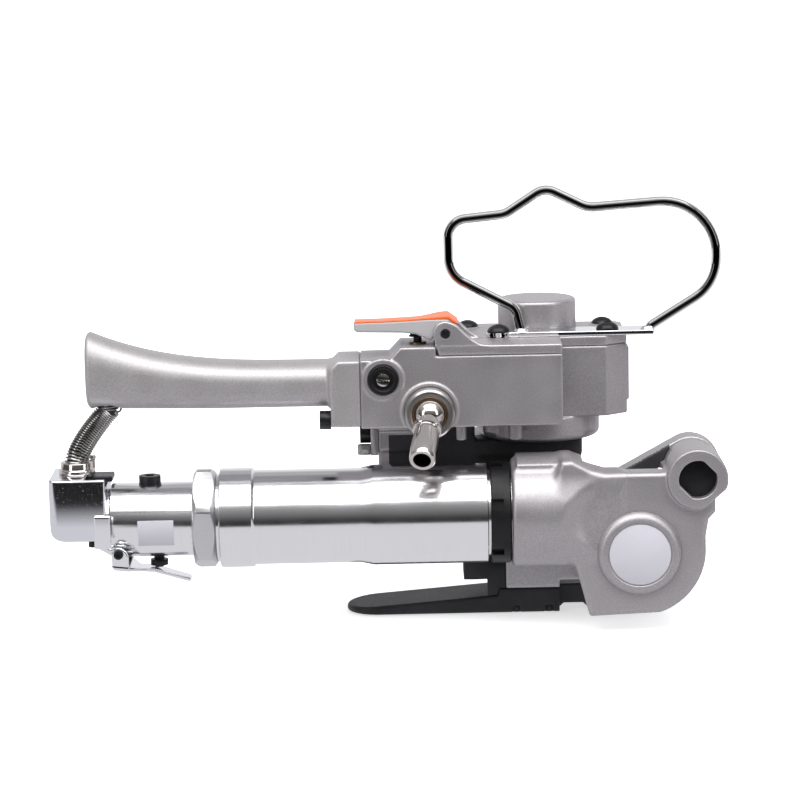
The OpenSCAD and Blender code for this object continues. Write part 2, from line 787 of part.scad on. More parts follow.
module pivot_shaft() {
    color([0.07, 0.07, 0.08]) {
        side(-61, -29.5) translate([pivot_x, pivot_z]) intersection() {
            circle(shaft_r);
            rotate(-45) square([40, 2 * shaft_flat], center = true);
        }
        difference() {
            ycyl(-29.6, -13.6, 8, pivot_x, pivot_z);
            difference() {
                ycyl(-15.6, -14.4, 9, pivot_x, pivot_z);
                ycyl(-16, -14, 7.2, pivot_x, pivot_z);
            }
        }
    }
}

module shaft_clip() {
    color([0.3, 0.3, 0.32]) difference() {
        ycyl(-15.5, -14.5, 10, pivot_x, pivot_z);
        ycyl(-16, -14, 7.25, pivot_x, pivot_z);
        span(pivot_x - 3, pivot_x + 3, -16, -14, pivot_z - 12, pivot_z);
    }
}

module lock_ring() {
    color([0.07, 0.07, 0.08]) difference() {
        union() {
            xcyl(-69.4, -61, 24.3);
            xcone(-70, -69.39, 23.6, 24.3);
            xcone(-61.01, -60.3, 24.3, 23.6);
        }
        xcyl(-71, -60, 21.1);
        for (i = [0:5]) translate([-71, motor_y, motor_z]) rotate([60 * i + 10, 0, 0])
            span(0, 7, -2.4, 2.4, 22.4, 30);
    }
}

module motor_tube() {
    color([0.76, 0.76, 0.78]) difference() {
        union() {
            xcyl(-200.6, -198, 21);
            xcyl(tube_x0 + 0.6, -183, collar_r);
            xcone(tube_x0, tube_x0 + 0.61, collar_r - 0.6, collar_r);
            xcone(-183.01, -182, collar_r, waist_r);
            xcyl(-182.01, -131.99, waist_r);
            xcone(-132, -126, waist_r, tube_r);
            xcyl(-126.01, tube_x1, tube_r);
            xcyl(tube_x1 - 1, -50.2, 21);
        }
        xcyl(-196, -49, tube_bore);
        xcyl(-201, -195, 8);
    }
}

module motor_liner() {
    color([0.4, 0.4, 0.42]) {
        difference() {
            xcyl(liner_x0, liner_x1, 19.95);
            xcyl(liner_x0 - 1, liner_x1 + 1, 16.4, motor_y, motor_z + 1);
        }
        // end plates with the seats of the rotor's bearings
        for (x = [liner_x0 - 7, liner_x1]) difference() {
            xcyl(x, x + 7, 19.95);
            xcyl(x - 1, x + 8, 9.05);
        }
    }
}

module drive_bearings() {
    color([0.7, 0.7, 0.72]) {
        for (b = [[-194.5, 6, 9, 4.05], [-135.5, 6, 9, 4.05], [-97, 8, 19.9, 6.05], [-45.9, 7, 10.95, 5.05],
            [14.5, 6, 8, 3.55]])
            difference() {
                xcyl(b[0], b[0] + b[1], b[2]);
                xcyl(b[0] - 1, b[0] + b[1] + 1, b[3]);
            }
        difference() {
            ycyl(-56.9, -51.2, 8, 0, wheel_z);
            ycyl(-58, -50, 4.05, 0, wheel_z);
        }
        difference() {
            ycyl(-31, -25.1, 8, 0, wheel_z);
            ycyl(-32, -24, 6.05, 0, wheel_z);
        }
    }
}

module motor_rotor() {
    color([0.45, 0.45, 0.47]) {
        difference() {
            xcyl(liner_x0 + 0.4, liner_x1 - 0.4, 15.2);
            for (i = [0:4]) translate([0, motor_y, motor_z]) rotate([72 * i, 0, 0])
                span(liner_x0, liner_x1, -0.9, 0.9, 8, 16);
        }
        xcyl(-195, gear_x1 - 0.5, 4);
        translate([gear_x0, motor_y, motor_z]) rotate([90, 0, 90]) linear_extrude(gear_x1 - gear_x0)
            gear(gear_m, planet_teeth);
    }
    // vanes
    color([0.35, 0.22, 0.1]) for (i = [0:4]) translate([0, motor_y, motor_z]) rotate([72 * i, 0, 0])
        span(liner_x0 + 0.6, liner_x1 - 0.6, -0.85, 0.85, 8.2, 15.2);
}

function inv(a) = tan(a) - a * 3.14159 / 180;

// Half the angle that a tooth takes at radius r
function half_angle(m, teeth, r, slack) =
    let (base = m * teeth / 2 * cos(pressure), q = max(r, base + 0.001))
    (3.14159 / (2 * teeth) - slack / (m * teeth) + inv(pressure) - inv(acos(base / q))) * 180 / 3.14159;

// Involute gear with its first tooth on +X; tip and root are in modules
module gear(m, teeth, tip = 0.85, root = 1.25, slack = backlash) {
    r0 = m * (teeth / 2 - root);
    r1 = m * (teeth / 2 + tip);
    circle(r0 + 0.02);
    for (i = [0:teeth - 1]) rotate(360 * i / teeth) polygon(concat(
        [[0, 0]],
        [for (k = [0:6]) let (r = r0 + (r1 - r0) * k / 6, a = -half_angle(m, teeth, r, slack))
            [r * cos(a), r * sin(a)]],
        [for (k = [6:-1:0]) let (r = r0 + (r1 - r0) * k / 6, a = half_angle(m, teeth, r, slack))
            [r * cos(a), r * sin(a)]]
    ));
}

module ring_gear() {
    color([0.4, 0.4, 0.42]) translate([-122, motor_y, motor_z]) rotate([90, 0, 90]) linear_extrude(22)
        difference() {
            circle(19.95);
            rotate(5) gear(gear_m, 3 * planet_teeth, 1.2, 0.55, -backlash);
        }
}

module planet(i) {
    color([0.5, 0.5, 0.52]) translate([gear_x0 + 0.2, motor_y, motor_z]) rotate([90, 0, 90]) rotate(120 * i)
        translate([carrier_r, 0, 0]) linear_extrude(gear_x1 - gear_x0 - 0.4) difference() {
            rotate(15) gear(gear_m, planet_teeth);
            circle(2.06, $fn = 48);
        }
}

module planet_gear_1() planet(0);

module planet_gear_2() planet(1);

module planet_gear_3() planet(2);

worm_x = 8;                             // half the length of the thread
worm_sides = 16;

// Cross-section of the worm: one thread start
function worm_radius(a) =
    let (
        p = abs(a > 180 ? a - 360 : a) / 360 * 3.14159 * worm_wheel_m,
        flank = (p - (0.785 - backlash / 2) * worm_wheel_m) / tan(pressure)
    )
    max(worm_r - 1.2 * worm_wheel_m, min(worm_r + 0.85 * worm_wheel_m, worm_r - flank));

module worm_shaft() {
    color([0.6, 0.6, 0.63]) {
        translate([-worm_x, motor_y, motor_z]) rotate([0, 90, 0])
            linear_extrude(2 * worm_x, twist = -720 * worm_x / (3.14159 * worm_wheel_m), slices = 66)
                rotate(180 - 360 * worm_x / (3.14159 * worm_wheel_m)) polygon([
                    for (i = [0:worm_sides - 1]) let (a = 360 * i / worm_sides)
                        [worm_radius(a) * cos(a), worm_radius(a) * sin(a)]
                ]);
        xcyl(-worm_x - 3, worm_x + 3, worm_r - 1.25);
        xcyl(worm_x, 20.8, 3.5);
        xcyl(-45, -worm_x - 0.5, 5);
        xcyl(-90, -44, 5);
        xcyl(-99.5, -89, 6);
        // planet carrier with its pins
        difference() {
            xcyl(-103, -99, 15.2);
            xcyl(-104, -102, 6);
        }
        for (i = [0:2]) translate([0, motor_y, motor_z]) rotate([120 * i, 0, 0])
            translate([0, carrier_r, 0]) xcyl(gear_x0 - 0.5, -102, 2, 0, 0);
    }
}

module feed_shaft() {
    color([0.6, 0.6, 0.63]) {
        ycyl(-56.5, -48, 4, 0, wheel_z);
        difference() {
            translate([0, -46, wheel_z]) rotate([-90, 0, 0]) union() {
                cylinder(h = 8, r = worm_wheel_r - 1.25);
                for (i = [0:worm_wheel_teeth - 1]) rotate(-90 + 360 * i / worm_wheel_teeth)
                    translate([0, 0, 4]) rotate([-worm_lead, 0, 0]) translate([0, 0, -3.6])
                        linear_extrude(7.2) worm_tooth();
            }
            for (i = [0:3]) translate([0, -47, wheel_z]) rotate([0, 90 * i + 45, 0]) translate([6.4, 0, 0])
                rotate([-90, 0, 0]) cylinder(h = 10, r = 1.6);
        }
        ycyl(-48.2, -46, 6, 0, wheel_z);
        ycyl(-38.1, 10, 6, 0, wheel_z);
        ycyl(9.9, 12, 9.5, 0, wheel_z);
        span(-1.5, 1.5, -9.5, 9.5, wheel_z + 4, wheel_z + 7.6);
    }
}

// Tooth of the worm wheel on +X
module worm_tooth() {
    r = worm_wheel_r;
    half = (0.785 - backlash / 2) * worm_wheel_m;
    slope = tan(pressure) * worm_wheel_m;
    polygon([
        [r - 1.6, -half - 0.6 * slope], [r - 0.6, -half - 0.5 * slope], [r, -half],
        [r + 0.8, -half + 0.9 * slope], [r + 0.8, half - 0.9 * slope], [r, half],
        [r - 0.6, half + 0.5 * slope], [r - 1.6, half + 0.6 * slope]
    ]);
}

module feed_wheel() {
    teeth = 96;
    color([0.3, 0.3, 0.32]) translate([0, -wheel_w / 2, wheel_z]) rotate([-90, 0, 0])
        linear_extrude(wheel_w)
        difference() {
            polygon([for (i = [0:2 * teeth - 1]) let (r = i % 2 == 0 ? wheel_r : wheel_r - 0.6)
                [r * cos(180 * i / teeth), r * sin(180 * i / teeth)]]);
            circle(6.04);
            rotate(-90) translate([0, -1.55]) square([7.7, 3.1]);
            for (i = [0:5]) rotate(60 * i) translate([15.5, 0]) circle(3.6);
        }
}

// ---- Motor's rear end ----

module tube_nut() {
    color([0.7, 0.7, 0.72]) difference() {
        intersection() {
            union() {
                xcyl(nut_x0 + 2, nut_x1 - 2, 24.3);
                xcone(nut_x0, nut_x0 + 2.01, 21.6, 24.3);
                xcone(nut_x1 - 2.01, nut_x1, 24.3, 21.6);
            }
            translate([nut_x0 - 1, motor_y, motor_z]) rotate([0, 90, 0]) rotate(9)
                cylinder(h = nut_x1 - nut_x0 + 2, r = 22 / cos(30), $fn = 6);
        }
        xcyl(nut_x0 - 1, nut_x1 + 1, 15.1);
    }
}

button_x = -229;
plug_x = -232.3;

// Pin that the throttle lever turns on
pin_x = -247;
pin_z = 42.5;

module throttle_body() {
    color([0.76, 0.76, 0.78]) difference() {
        union() {
            xcyl(throttle_x0 + 0.6, nut_x0, throttle_r);
            xcone(throttle_x0, throttle_x0 + 0.61, throttle_r - 0.6, throttle_r);
            xcyl(nut_x0 - 0.1, nut_x1 - 0.1, 15);
        }
        xcyl(-235, nut_x1 + 1, 6);
        xcyl(throttle_x0 - 1, -243, 6.05);
        zcyl(30, 50, 2.55, button_x, motor_y);
        zcyl(62, 75, 5.25, plug_x, motor_y);
    }
}

module body_label() {
    color([0.8, 0.79, 0.84]) intersection() {
        difference() {
            xcyl(-237.5, -220.5, throttle_r + 0.25);
            xcyl(-238, -220, throttle_r + 0.01);
        }
        span(-238, -220, -62, motor_y, 46, 58.6);
    }
}

module plug_screw() {
    color([0.06, 0.06, 0.07]) difference() {
        zcyl(63, 77.2, 5.2, plug_x, motor_y);
        zcyl(74.5, 78, 2.6, plug_x, motor_y, $fn = 6);
    }
    // screw head below the end block
    color([0.06, 0.06, 0.07]) zcyl(44.7, 47.9, 2.65, -259.3, -50);
}

module end_block() {
    color([0.82, 0.82, 0.85]) difference() {
        union() {
            intersection() {
                side(-62, -28) soft(0.8) difference() {
                    rect(-279, elbow_x1, 48, 79);
                    difference() {
                        rect(-280, -271, 47, 56);
                        translate([-271, 56]) circle(8);
                    }
                }
                // the lower front edge is rolled under
                translate([-280, 0, 0]) rotate([90, 0, 90]) linear_extrude(40)
                    polygon(concat([[-27, 47], [-27, 81], [-62, 81]], arc([-54, 56], 8, 180, 270, 12)));
            }
            xcyl(elbow_x1 - 0.1, throttle_x0, 15.5);
            xcyl(throttle_x0 - 0.1, -243.1, 6);
        }
        xcyl(-262, -242, 4.5);
        zcyl(60, 80, 4.5, -267, motor_y);
        // recess behind the front wall
        span(-262, elbow_x1 + 1, -59.6, -27, 74.6, 80);
    }
    // block in the recess, with a post beside the hose
    color([0.07, 0.07, 0.08]) span(-261.9, -250, -44, -30, 74.6, 77.4);
    color([0.8, 0.8, 0.82]) {
        zcyl(77.3, 85.2, 1.1, -260, -34.4);
        zcyl(84.2, 86.2, 1.6, -260, -34.4);
    }
}

module lever_bracket() {
    color([0.82, 0.82, 0.85]) {
        span(-257.8, -250, -64, -62.05, 46.2, 62);
        span(-256.4, -252.4, -63, -26.1, 46.4, 47.9);
        for (y = [-56.1, -26.1]) difference() {
            side(y - 1.8, y) polygon(concat(
                [[-252.5, 47.4], [-256.4, 47.4], [-256.4, 45]],
                arc([pin_x, pin_z], 2.9, 215, 380, 12),
                [[-244.7, 44.8], [-250.8, 44.9], [-252.5, 45.8]]
            ));
            ycyl(y - 3, y + 1, 1.85, pin_x, pin_z);
        }
    }
}

// Two stub pins, one on each side of the throttle body
module throttle_pin() {
    color([0.06, 0.06, 0.07]) difference() {
        union() {
            ycyl(-61.4, -60, 2.1, pin_x, pin_z);
            ycyl(-60.1, -55.9, 1.8, pin_x, pin_z);
            ycyl(-28.1, -23.9, 1.8, pin_x, pin_z);
            ycyl(-24, -23, 2.1, pin_x, pin_z);
        }
        ycyl(-62, -60.4, 1.1, pin_x, pin_z, $fn = 6);
    }
}

// Ears on both sides of the throttle body, a crosspiece under it and a narrow arm below the button
module throttle_lever() {
    color([0.85, 0.85, 0.88]) {
        for (y = [-59.9, -25.9]) side(y, y + 1.8) difference() {
            polygon(concat(
                [[-242.2, 34.2], [-242.2, 41.6], [-243.2, 43.9]],
                arc([pin_x, pin_z], 3.3, 60, 190, 12),
                [[-250.2, 36.4], [-249.2, 35]]
            ));
            translate([pin_x, pin_z]) circle(1.85, $fn = 48);
        }
        intersection() {
            side(-59.9, -24.1) polygon([
                [-249.2, 35], [-242.2, 34.2], [-238.8, 31.5], [-231.6, 31], [-214.6, 25.8],
                [-213.8, 26.4], [-213.9, 27.5], [-231, 32.7], [-238.4, 33.2], [-241.8, 35.9],
                [-250.2, 36.8], [-250.2, 36.4]
            ]);
            plan(20, 40) polygon([
                [-251, -60], [-242.1, -60], [-238.6, -47.6], [-231, -47.4], [-214.4, -46.2], [-213.6, -45.4],
                [-213.6, -38.6], [-214.4, -37.8], [-231, -36.6], [-240.5, -36.4], [-244.8, -25.5], [-244.8, -24],
                [-251, -24]
            ]);
        }
    }
}

module throttle_button() {
    color([0.25, 0.25, 0.27]) {
        zcyl(32.75, 34, 2, button_x, motor_y);
        zcyl(33.7, 36.4, 4.2, button_x, motor_y);
        zcyl(36, 48, 2.5, button_x, motor_y);
    }
}

module hose_fitting() {
    color([0.7, 0.66, 0.64]) difference() {
        union() {
            zcyl(79, 81.2, 8.6, -267, motor_y);
            zcyl(81.1, 84.6, 7.6, -267, motor_y);
        }
        zcyl(78, 86, 4.5, -267, motor_y);
    }
}

// Path of the hose from the fitting up into the grip: an S-bend with a straight end
function hose_at(t) =
    let (u = min(1, t / 0.86), s = u * u * (3 - 2 * u))
    [-267 + 16 * pow(u, 1.4), motor_y + 9 * s, 84.65 + 27.4 * t];

module air_hose() {
    color([0.2, 0.2, 0.21]) difference() {
        loft([for (k = [0:16]) [for (i = [0:23]) hose_at(k / 16) + [6 * cos(15 * i), 6 * sin(15 * i), 0]]]);
        loft([for (k = [0:16]) let (p = hose_at(k / 16) + [0, 0, 0.05 * (k - 8)])
            [for (i = [0:15]) p + [3.6 * cos(22.5 * i), 3.6 * sin(22.5 * i), 0]]]);
    }
}

base_plate();
gripper_plate();
weld_anvil();
main_frame();
strap_guide();
end_plate();
frame_screws();
pivot_bush();
weld_motor_housing();
weld_bearings();
valve_body();
top_cover();
cover_screws();
hanger_bail();
handle_grip();
handle_screws();
inlet_socket();
timer_bezel();
lever_pin();
plunger_bush();
plunger_spring();
weld_rotor();
weld_carriage();
weld_pad();
cutter_blade();
swivel_ring();
inlet_nipple();
timer_screw();
thumb_lever();
lever_pad();
valve_plunger();
tension_housing();
wheel_cap();
cap_disc();
worm_end_plug();
pivot_shaft();
shaft_clip();
lock_ring();
motor_tube();
motor_liner();
ring_gear();
tube_nut();
throttle_body();
body_label();
plug_screw();
end_block();
lever_bracket();
throttle_pin();
hose_fitting();
air_hose();
throttle_lever();
throttle_button();
worm_shaft();
drive_bearings();
motor_rotor();
planet_gear_1();
planet_gear_2();
planet_gear_3();
feed_shaft();
feed_wheel();
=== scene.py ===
import json
import math
import bmesh
import bpy
import numpy as np
from mathutils import Matrix, Vector


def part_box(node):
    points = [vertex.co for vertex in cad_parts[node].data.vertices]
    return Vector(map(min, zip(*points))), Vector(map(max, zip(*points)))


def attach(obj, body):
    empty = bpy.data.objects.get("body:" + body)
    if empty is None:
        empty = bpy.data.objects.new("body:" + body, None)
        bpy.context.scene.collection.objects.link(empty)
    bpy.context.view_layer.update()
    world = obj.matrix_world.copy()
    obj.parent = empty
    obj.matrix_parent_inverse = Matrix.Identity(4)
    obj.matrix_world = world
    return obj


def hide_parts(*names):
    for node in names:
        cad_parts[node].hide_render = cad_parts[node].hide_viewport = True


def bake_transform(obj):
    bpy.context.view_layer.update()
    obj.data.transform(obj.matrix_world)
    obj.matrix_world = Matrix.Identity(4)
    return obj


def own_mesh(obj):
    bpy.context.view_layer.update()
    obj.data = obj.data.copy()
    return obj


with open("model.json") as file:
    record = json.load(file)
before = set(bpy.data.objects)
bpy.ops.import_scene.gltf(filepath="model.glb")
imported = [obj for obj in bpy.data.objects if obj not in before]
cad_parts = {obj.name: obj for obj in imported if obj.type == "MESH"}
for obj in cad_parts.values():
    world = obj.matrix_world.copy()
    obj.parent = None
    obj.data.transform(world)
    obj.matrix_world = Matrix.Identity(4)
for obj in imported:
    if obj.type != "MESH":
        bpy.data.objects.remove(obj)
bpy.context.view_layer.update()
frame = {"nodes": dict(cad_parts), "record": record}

MM = 0.001
COARSE = 1.0
EDGE_ANGLE = math.radians(32)           # edges sharper than this stay sharp
D = bpy.data
scene = bpy.context.scene
BODY = {n: b for b, nodes in frame["record"]["behaviour"]["bodies"].items() for n in nodes}
NODE = frame["nodes"]

# ---------------------------------------------------------------- materials


def principled(name, color, metallic, rough):
    m = D.materials.new(name)
    m.use_nodes = True
    b = m.node_tree.nodes["Principled BSDF"]
    b.inputs["Base Color"].default_value = (*color, 1)
    b.inputs["Metallic"].default_value = metallic
    b.inputs["Roughness"].default_value = rough
    return m, m.node_tree, b


def noise(nt, scale, detail, stretch=(1, 1, 1)):
    """Noise in the piece's own coordinates; scale is in cells per metre."""
    tc = nt.nodes.new("ShaderNodeTexCoord")
    mp = nt.nodes.new("ShaderNodeMapping")
    mp.inputs["Scale"].default_value = stretch
    n = nt.nodes.new("ShaderNodeTexNoise")
    n.inputs["Scale"].default_value = scale
    n.inputs["Detail"].default_value = detail
    n.inputs["Roughness"].default_value = 0.55
    nt.links.new(tc.outputs["Object"], mp.inputs["Vector"])
    nt.links.new(mp.outputs["Vector"], n.inputs["Vector"])
    return n.outputs["Fac"]


def ramp(nt, fac, stops):
    """A colour ramp over fac; each stop is a place and a grey or a colour."""
    r = nt.nodes.new("ShaderNodeValToRGB")
    while len(r.color_ramp.elements) < len(stops):
        r.color_ramp.elements.new(0.5)
    for e, (p, c) in zip(r.color_ramp.elements, stops):
        e.position = p
        e.color = (*c, 1) if isinstance(c, tuple) else (c, c, c, 1)
    nt.links.new(fac, r.inputs["Fac"])
    return r.outputs["Color"]


def bump(nt, b, fac, strength, distance, chain=None):
    """Bump of the given depth in metres, on top of the normal in chain."""
    n = nt.nodes.new("ShaderNodeBump")
    n.inputs["Strength"].default_value = strength
    n.inputs["Distance"].default_value = distance
    nt.links.new(fac, n.inputs["Height"])
    if chain:
        nt.links.new(chain, n.inputs["Normal"])
    nt.links.new(n.outputs["Normal"], b.inputs["Normal"])
    return n.outputs["Normal"]


def cast_metal(name, color, rough=0.42, metallic=0.72, grain=0.22):
    """Sand-cast alloy with a fine satin grain and faint cloudiness."""
    m, nt, b = principled(name, color, metallic, rough)
    fine = noise(nt, 1500, 3)
    cloud = noise(nt, 60, 4)
    dark = tuple(c * 0.84 for c in color)
    light = tuple(min(1, c * 1.14) for c in color)
    mix = nt.nodes.new("ShaderNodeMix")
    mix.data_type = "RGBA"
    mix.blend_type = "MULTIPLY"
    mix.inputs["Factor"].default_value = 1
    nt.links.new(ramp(nt, fine, [(0.3, dark), (0.7, light)]), mix.inputs[6])
    nt.links.new(ramp(nt, cloud, [(0.3, 0.93), (0.7, 1.0)]), mix.inputs[7])
    nt.links.new(mix.outputs[2], b.inputs["Base Color"])
    nt.links.new(ramp(nt, cloud, [(0.2, rough - 0.05), (0.8, rough + 0.07)]), b.inputs["Roughness"])
    bump(nt, b, fine, grain, 0.00012)
    return m


def turned_metal(name, color, rough, stretch, scale, strength, streak=0.1):
    """Machined metal whose fine marks run one way."""
    m, nt, b = principled(name, color, 1.0, rough)
    marks = noise(nt, scale, 2, stretch)
    smudge = noise(nt, 45, 4)
    faded = tuple(c * (1 - streak) for c in color)
    nt.links.new(ramp(nt, marks, [(0.3, faded), (0.7, color)]), b.inputs["Base Color"])
    nt.links.new(ramp(nt, smudge, [(0.3, max(0.02, rough - 0.03)), (0.75, rough + 0.05)]),
                 b.inputs["Roughness"])
    bump(nt, b, marks, strength, 0.00005)
    return m


def plated(name, color, rough, speckle=0.0):
    """Bright plating, optionally with tiny pits."""
    m, nt, b = principled(name, color, 1.0, rough)
    wave = noise(nt, 40, 1)
    normal = bump(nt, b, wave, 0.02, 0.0004)
    if speckle:
        pits = noise(nt, 1500, 1)
        spots = ramp(nt, pits, [(0.69, 0.0), (0.74, 1.0)])
        nt.links.new(ramp(nt, pits, [(0.69, rough), (0.76, rough + 0.3)]), b.inputs["Roughness"])
        bump(nt, b, spots, speckle, 0.00005, normal)
    return m


def dark_metal(name, color=(0.018, 0.018, 0.02), rough=0.34, grain=0.12, metallic=0.55):
    """Black oxide with a faint grain."""
    m, nt, b = principled(name, color, metallic, rough)
    fine = noise(nt, 1100, 3)
    cloud = noise(nt, 90, 4)
    dark, light = (tuple(c * k for c in color) for k in (0.7, 1.5))
    nt.links.new(ramp(nt, cloud, [(0.3, dark), (0.75, light)]), b.inputs["Base Color"])
    nt.links.new(ramp(nt, fine, [(0.3, rough - 0.06), (0.7, rough + 0.08)]), b.inputs["Roughness"])
    bump(nt, b, fine, grain, 0.00008)
    return m


def plastic(name, color, rough, grain=0.05):
    """Moulded plastic or rubber with a fine grain."""
    m, nt, b = principled(name, color, 0.0, rough)
    fine = noise(nt, 1400, 2)
    cloud = noise(nt, 80, 3)
    faded = tuple(c * 0.95 for c in color)
    nt.links.new(ramp(nt, cloud, [(0.3, faded), (0.7, color)]), b.inputs["Base Color"])
    bump(nt, b, fine, grain, 0.00006)
    return m


CAST = cast_metal("cast_alloy", (0.46, 0.44, 0.455))
# painted shade: a near-black copy of the cast alloy, painted on frame faces that lie in shade
PAINTED_SHADE = cast_metal("cast_alloy_painted_shade", (0.055, 0.053, 0.058), rough=0.5, metallic=0.5)
GRIP = cast_metal("grip_alloy", (0.52, 0.50, 0.51), rough=0.5, grain=0.12)
COVER = cast_metal("cover_alloy", (0.50, 0.48, 0.495), rough=0.40, grain=0.16)
TUBE = turned_metal("turned_aluminium", (0.88, 0.88, 0.90), 0.16, (60, 1, 1), 60, 0.02, streak=0.035)
NUT = turned_metal("brushed_aluminium", (0.66, 0.66, 0.67), 0.3, (1, 12, 12), 160, 0.03, streak=0.05)
CHROME = plated("chrome", (0.86, 0.86, 0.89), 0.05)
WIRE = plated("chrome_wire", (0.86, 0.86, 0.89), 0.06)
# painted reflection: the wire's base colour is painted dark in the middle and bright at the rims, standing
# in for the dark room and the white sweep that it mirrors
wire_nt = WIRE.node_tree
rim = wire_nt.nodes.new("ShaderNodeLayerWeight")
rim.inputs["Blend"].default_value = 0.5
wire_nt.links.new(ramp(wire_nt, rim.outputs["Facing"], [(0.06, 0.06), (0.2, 0.22), (0.36, 0.95)]),
                  wire_nt.nodes["Principled BSDF"].inputs["Base Color"])
PITTED = plated("chrome_pitted", (0.80, 0.80, 0.85), 0.05, 0.25)
NICKEL = plated("nickel", (0.66, 0.62, 0.60), 0.14)
SATIN = turned_metal("satin_nickel", (0.52, 0.50, 0.485), 0.3, (1, 40, 1), 90, 0.05)
BRONZE = turned_metal("bronze", (0.17, 0.12, 0.08), 0.32, (1, 40, 1), 90, 0.05)
BLACK = dark_metal("black_oxide")
RINGB = dark_metal("black_anodised", (0.012, 0.012, 0.013), 0.42)
BASEB = dark_metal("black_sole", (0.016, 0.016, 0.018), 0.5, 0.35, 0.3)
TOOL = turned_metal("tool_steel", (0.30, 0.30, 0.32), 0.34, (1, 30, 1), 80, 0.08)
GROUND = turned_metal("ground_steel", (0.56, 0.56, 0.58), 0.24, (30, 1, 1), 80, 0.05)
LABEL = plastic("label_film", (0.66, 0.65, 0.71), 0.45, 0.02)
LEVER = plastic("lever_plastic", (0.50, 0.49, 0.50), 0.38)
PAD = plastic("pad_plastic", (0.90, 0.17, 0.045), 0.36)
COIL = turned_metal("guard_steel", (0.36, 0.35, 0.34), 0.22, (1, 1, 1), 400, 0.03)
RUBBER = plastic("hose_rubber", (0.02, 0.02, 0.022), 0.6, 0.2)

SLOT = {s["node"]: s["material_slot"] for s in frame["record"]["subparts"]}

# ---------------------------------------------------------------- mesh helpers


def smooth_by_angle(ob, angle):
    bpy.context.view_layer.objects.active = ob
    ob.select_set(True)
    bpy.ops.object.shade_smooth_by_angle(angle=angle)
    ob.select_set(False)


def finish_mesh(name, verts, faces, mat, node, angle=None):
    """A mesh from points in millimetres, riding on the body of the CAD node."""
    me = D.meshes.new(name)
    me.from_pydata((np.asarray(verts, float) * MM).tolist(), [], faces)
    me.validate()
    me.update()
    ob = D.objects.new(name, me)
    scene.collection.objects.link(ob)
    me.materials.append(mat)
    for p in me.polygons:
        p.use_smooth = True
    if angle:
        smooth_by_angle(ob, angle)
    if node:
        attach(ob, BODY[node])
    return ob


def lathe(name, profile, axis, centre, mat, node, segs, replaces=None):
    """A turned piece. profile is a closed list of (along the axis, radius)."""
    a = np.linspace(0, 2 * math.pi, segs, endpoint=False)
    verts, faces = [], []
    n = len(profile)
    for t in a:
        for s, r in profile:
            if axis == "x":
                verts.append((s, centre[1] + r * math.cos(t), centre[2] + r * math.sin(t)))
            elif axis == "y":
                verts.append((centre[0] + r * math.cos(t), s, centre[2] - r * math.sin(t)))
            else:
                verts.append((centre[0] + r * math.cos(t), centre[1] + r * math.sin(t), s))
    for i in range(segs):
        j = (i + 1) % segs
        for k in range(n):
            q = (k + 1) % n
            faces.append((i * n + k, j * n + k, j * n + q, i * n + q))
    ob = finish_mesh(name, verts, faces, mat, node, EDGE_ANGLE)
    fix_normals(ob)
    if replaces:
        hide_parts(*replaces)
    return ob


def fix_normals(ob):
    bm = bmesh.new()
    bm.from_mesh(ob.data)
    bmesh.ops.remove_doubles(bm, verts=bm.verts, dist=1e-7)
    bmesh.ops.recalc_face_normals(bm, faces=bm.faces)
    bm.to_mesh(ob.data)
    bm.free()


def sweep(name, path, radius, mat, node, sides):
    """A round wire along a path of points in millimetres."""
    path = np.asarray(path, float)
    n = len(path)
    t = np.gradient(path, axis=0)
    t /= np.linalg.norm(t, axis=1)[:, None]
    u = np.array((0, 1, 0), float)
    verts = []
    for i in range(n):
        u = u - t[i] * (u @ t[i])
        u /= np.linalg.norm(u)
        w = np.cross(t[i], u)
        for k in range(sides):
            a = 2 * math.pi * k / sides
            verts.append(path[i] + radius * (math.cos(a) * u + math.sin(a) * w))
    faces = []
    for i in range(n - 1):
        for k in range(sides):
            q = (k + 1) % sides
            faces.append((i * sides + k, i * sides + q, (i + 1) * sides + q, (i + 1) * sides + k))
    faces.append(tuple(range(sides - 1, -1, -1)))
    faces.append(tuple((n - 1) * sides + k for k in range(sides)))
    ob = finish_mesh(name, verts, faces, mat, node, math.radians(50))
    fix_normals(ob)
    return ob


# ---------------------------------------------------------------- distance fields


def rmax(a, b, r):
    """Both, with a rounded outer edge of radius r."""
    if r <= 0:
        return np.maximum(a, b)
    return np.minimum(-r, np.maximum(a, b)) + np.hypot(np.maximum(a + r, 0), np.maximum(b + r, 0))


def rmin(a, b, r):
    """Either, with a fillet of radius r in the inner corner."""
    if r <= 0:
        return np.minimum(a, b)
    return np.maximum(r, np.minimum(a, b)) - np.hypot(np.maximum(r - a, 0), np.maximum(r - b, 0))


def cut(a, b, r=0.0):
    """a without b, with the cut's edge rounded by r."""
    return rmax(a, -b, r)


def slab(v, lo, hi):
    return np.maximum(lo - v, v - hi)


def box(P, x, y, z, r):
    """A box given by its ranges along the three axes."""
    return rmax(rmax(slab(P[0], *x), slab(P[1], *y), r), slab(P[2], *z), r)


def from_axis(P, axis, c):
    """Distance from a line along axis through c."""
    i, j = {"x": (1, 2), "y": (0, 2), "z": (0, 1)}[axis]
    return np.hypot(P[i] - c[0], P[j] - c[1])


def cyl(P, axis, c, rad, span, r):
    """A cylinder along axis through c, over span, with its rims rounded by r."""
    s = P["xyz".index(axis)]
    return rmax(from_axis(P, axis, c) - rad, slab(s, *span), r)


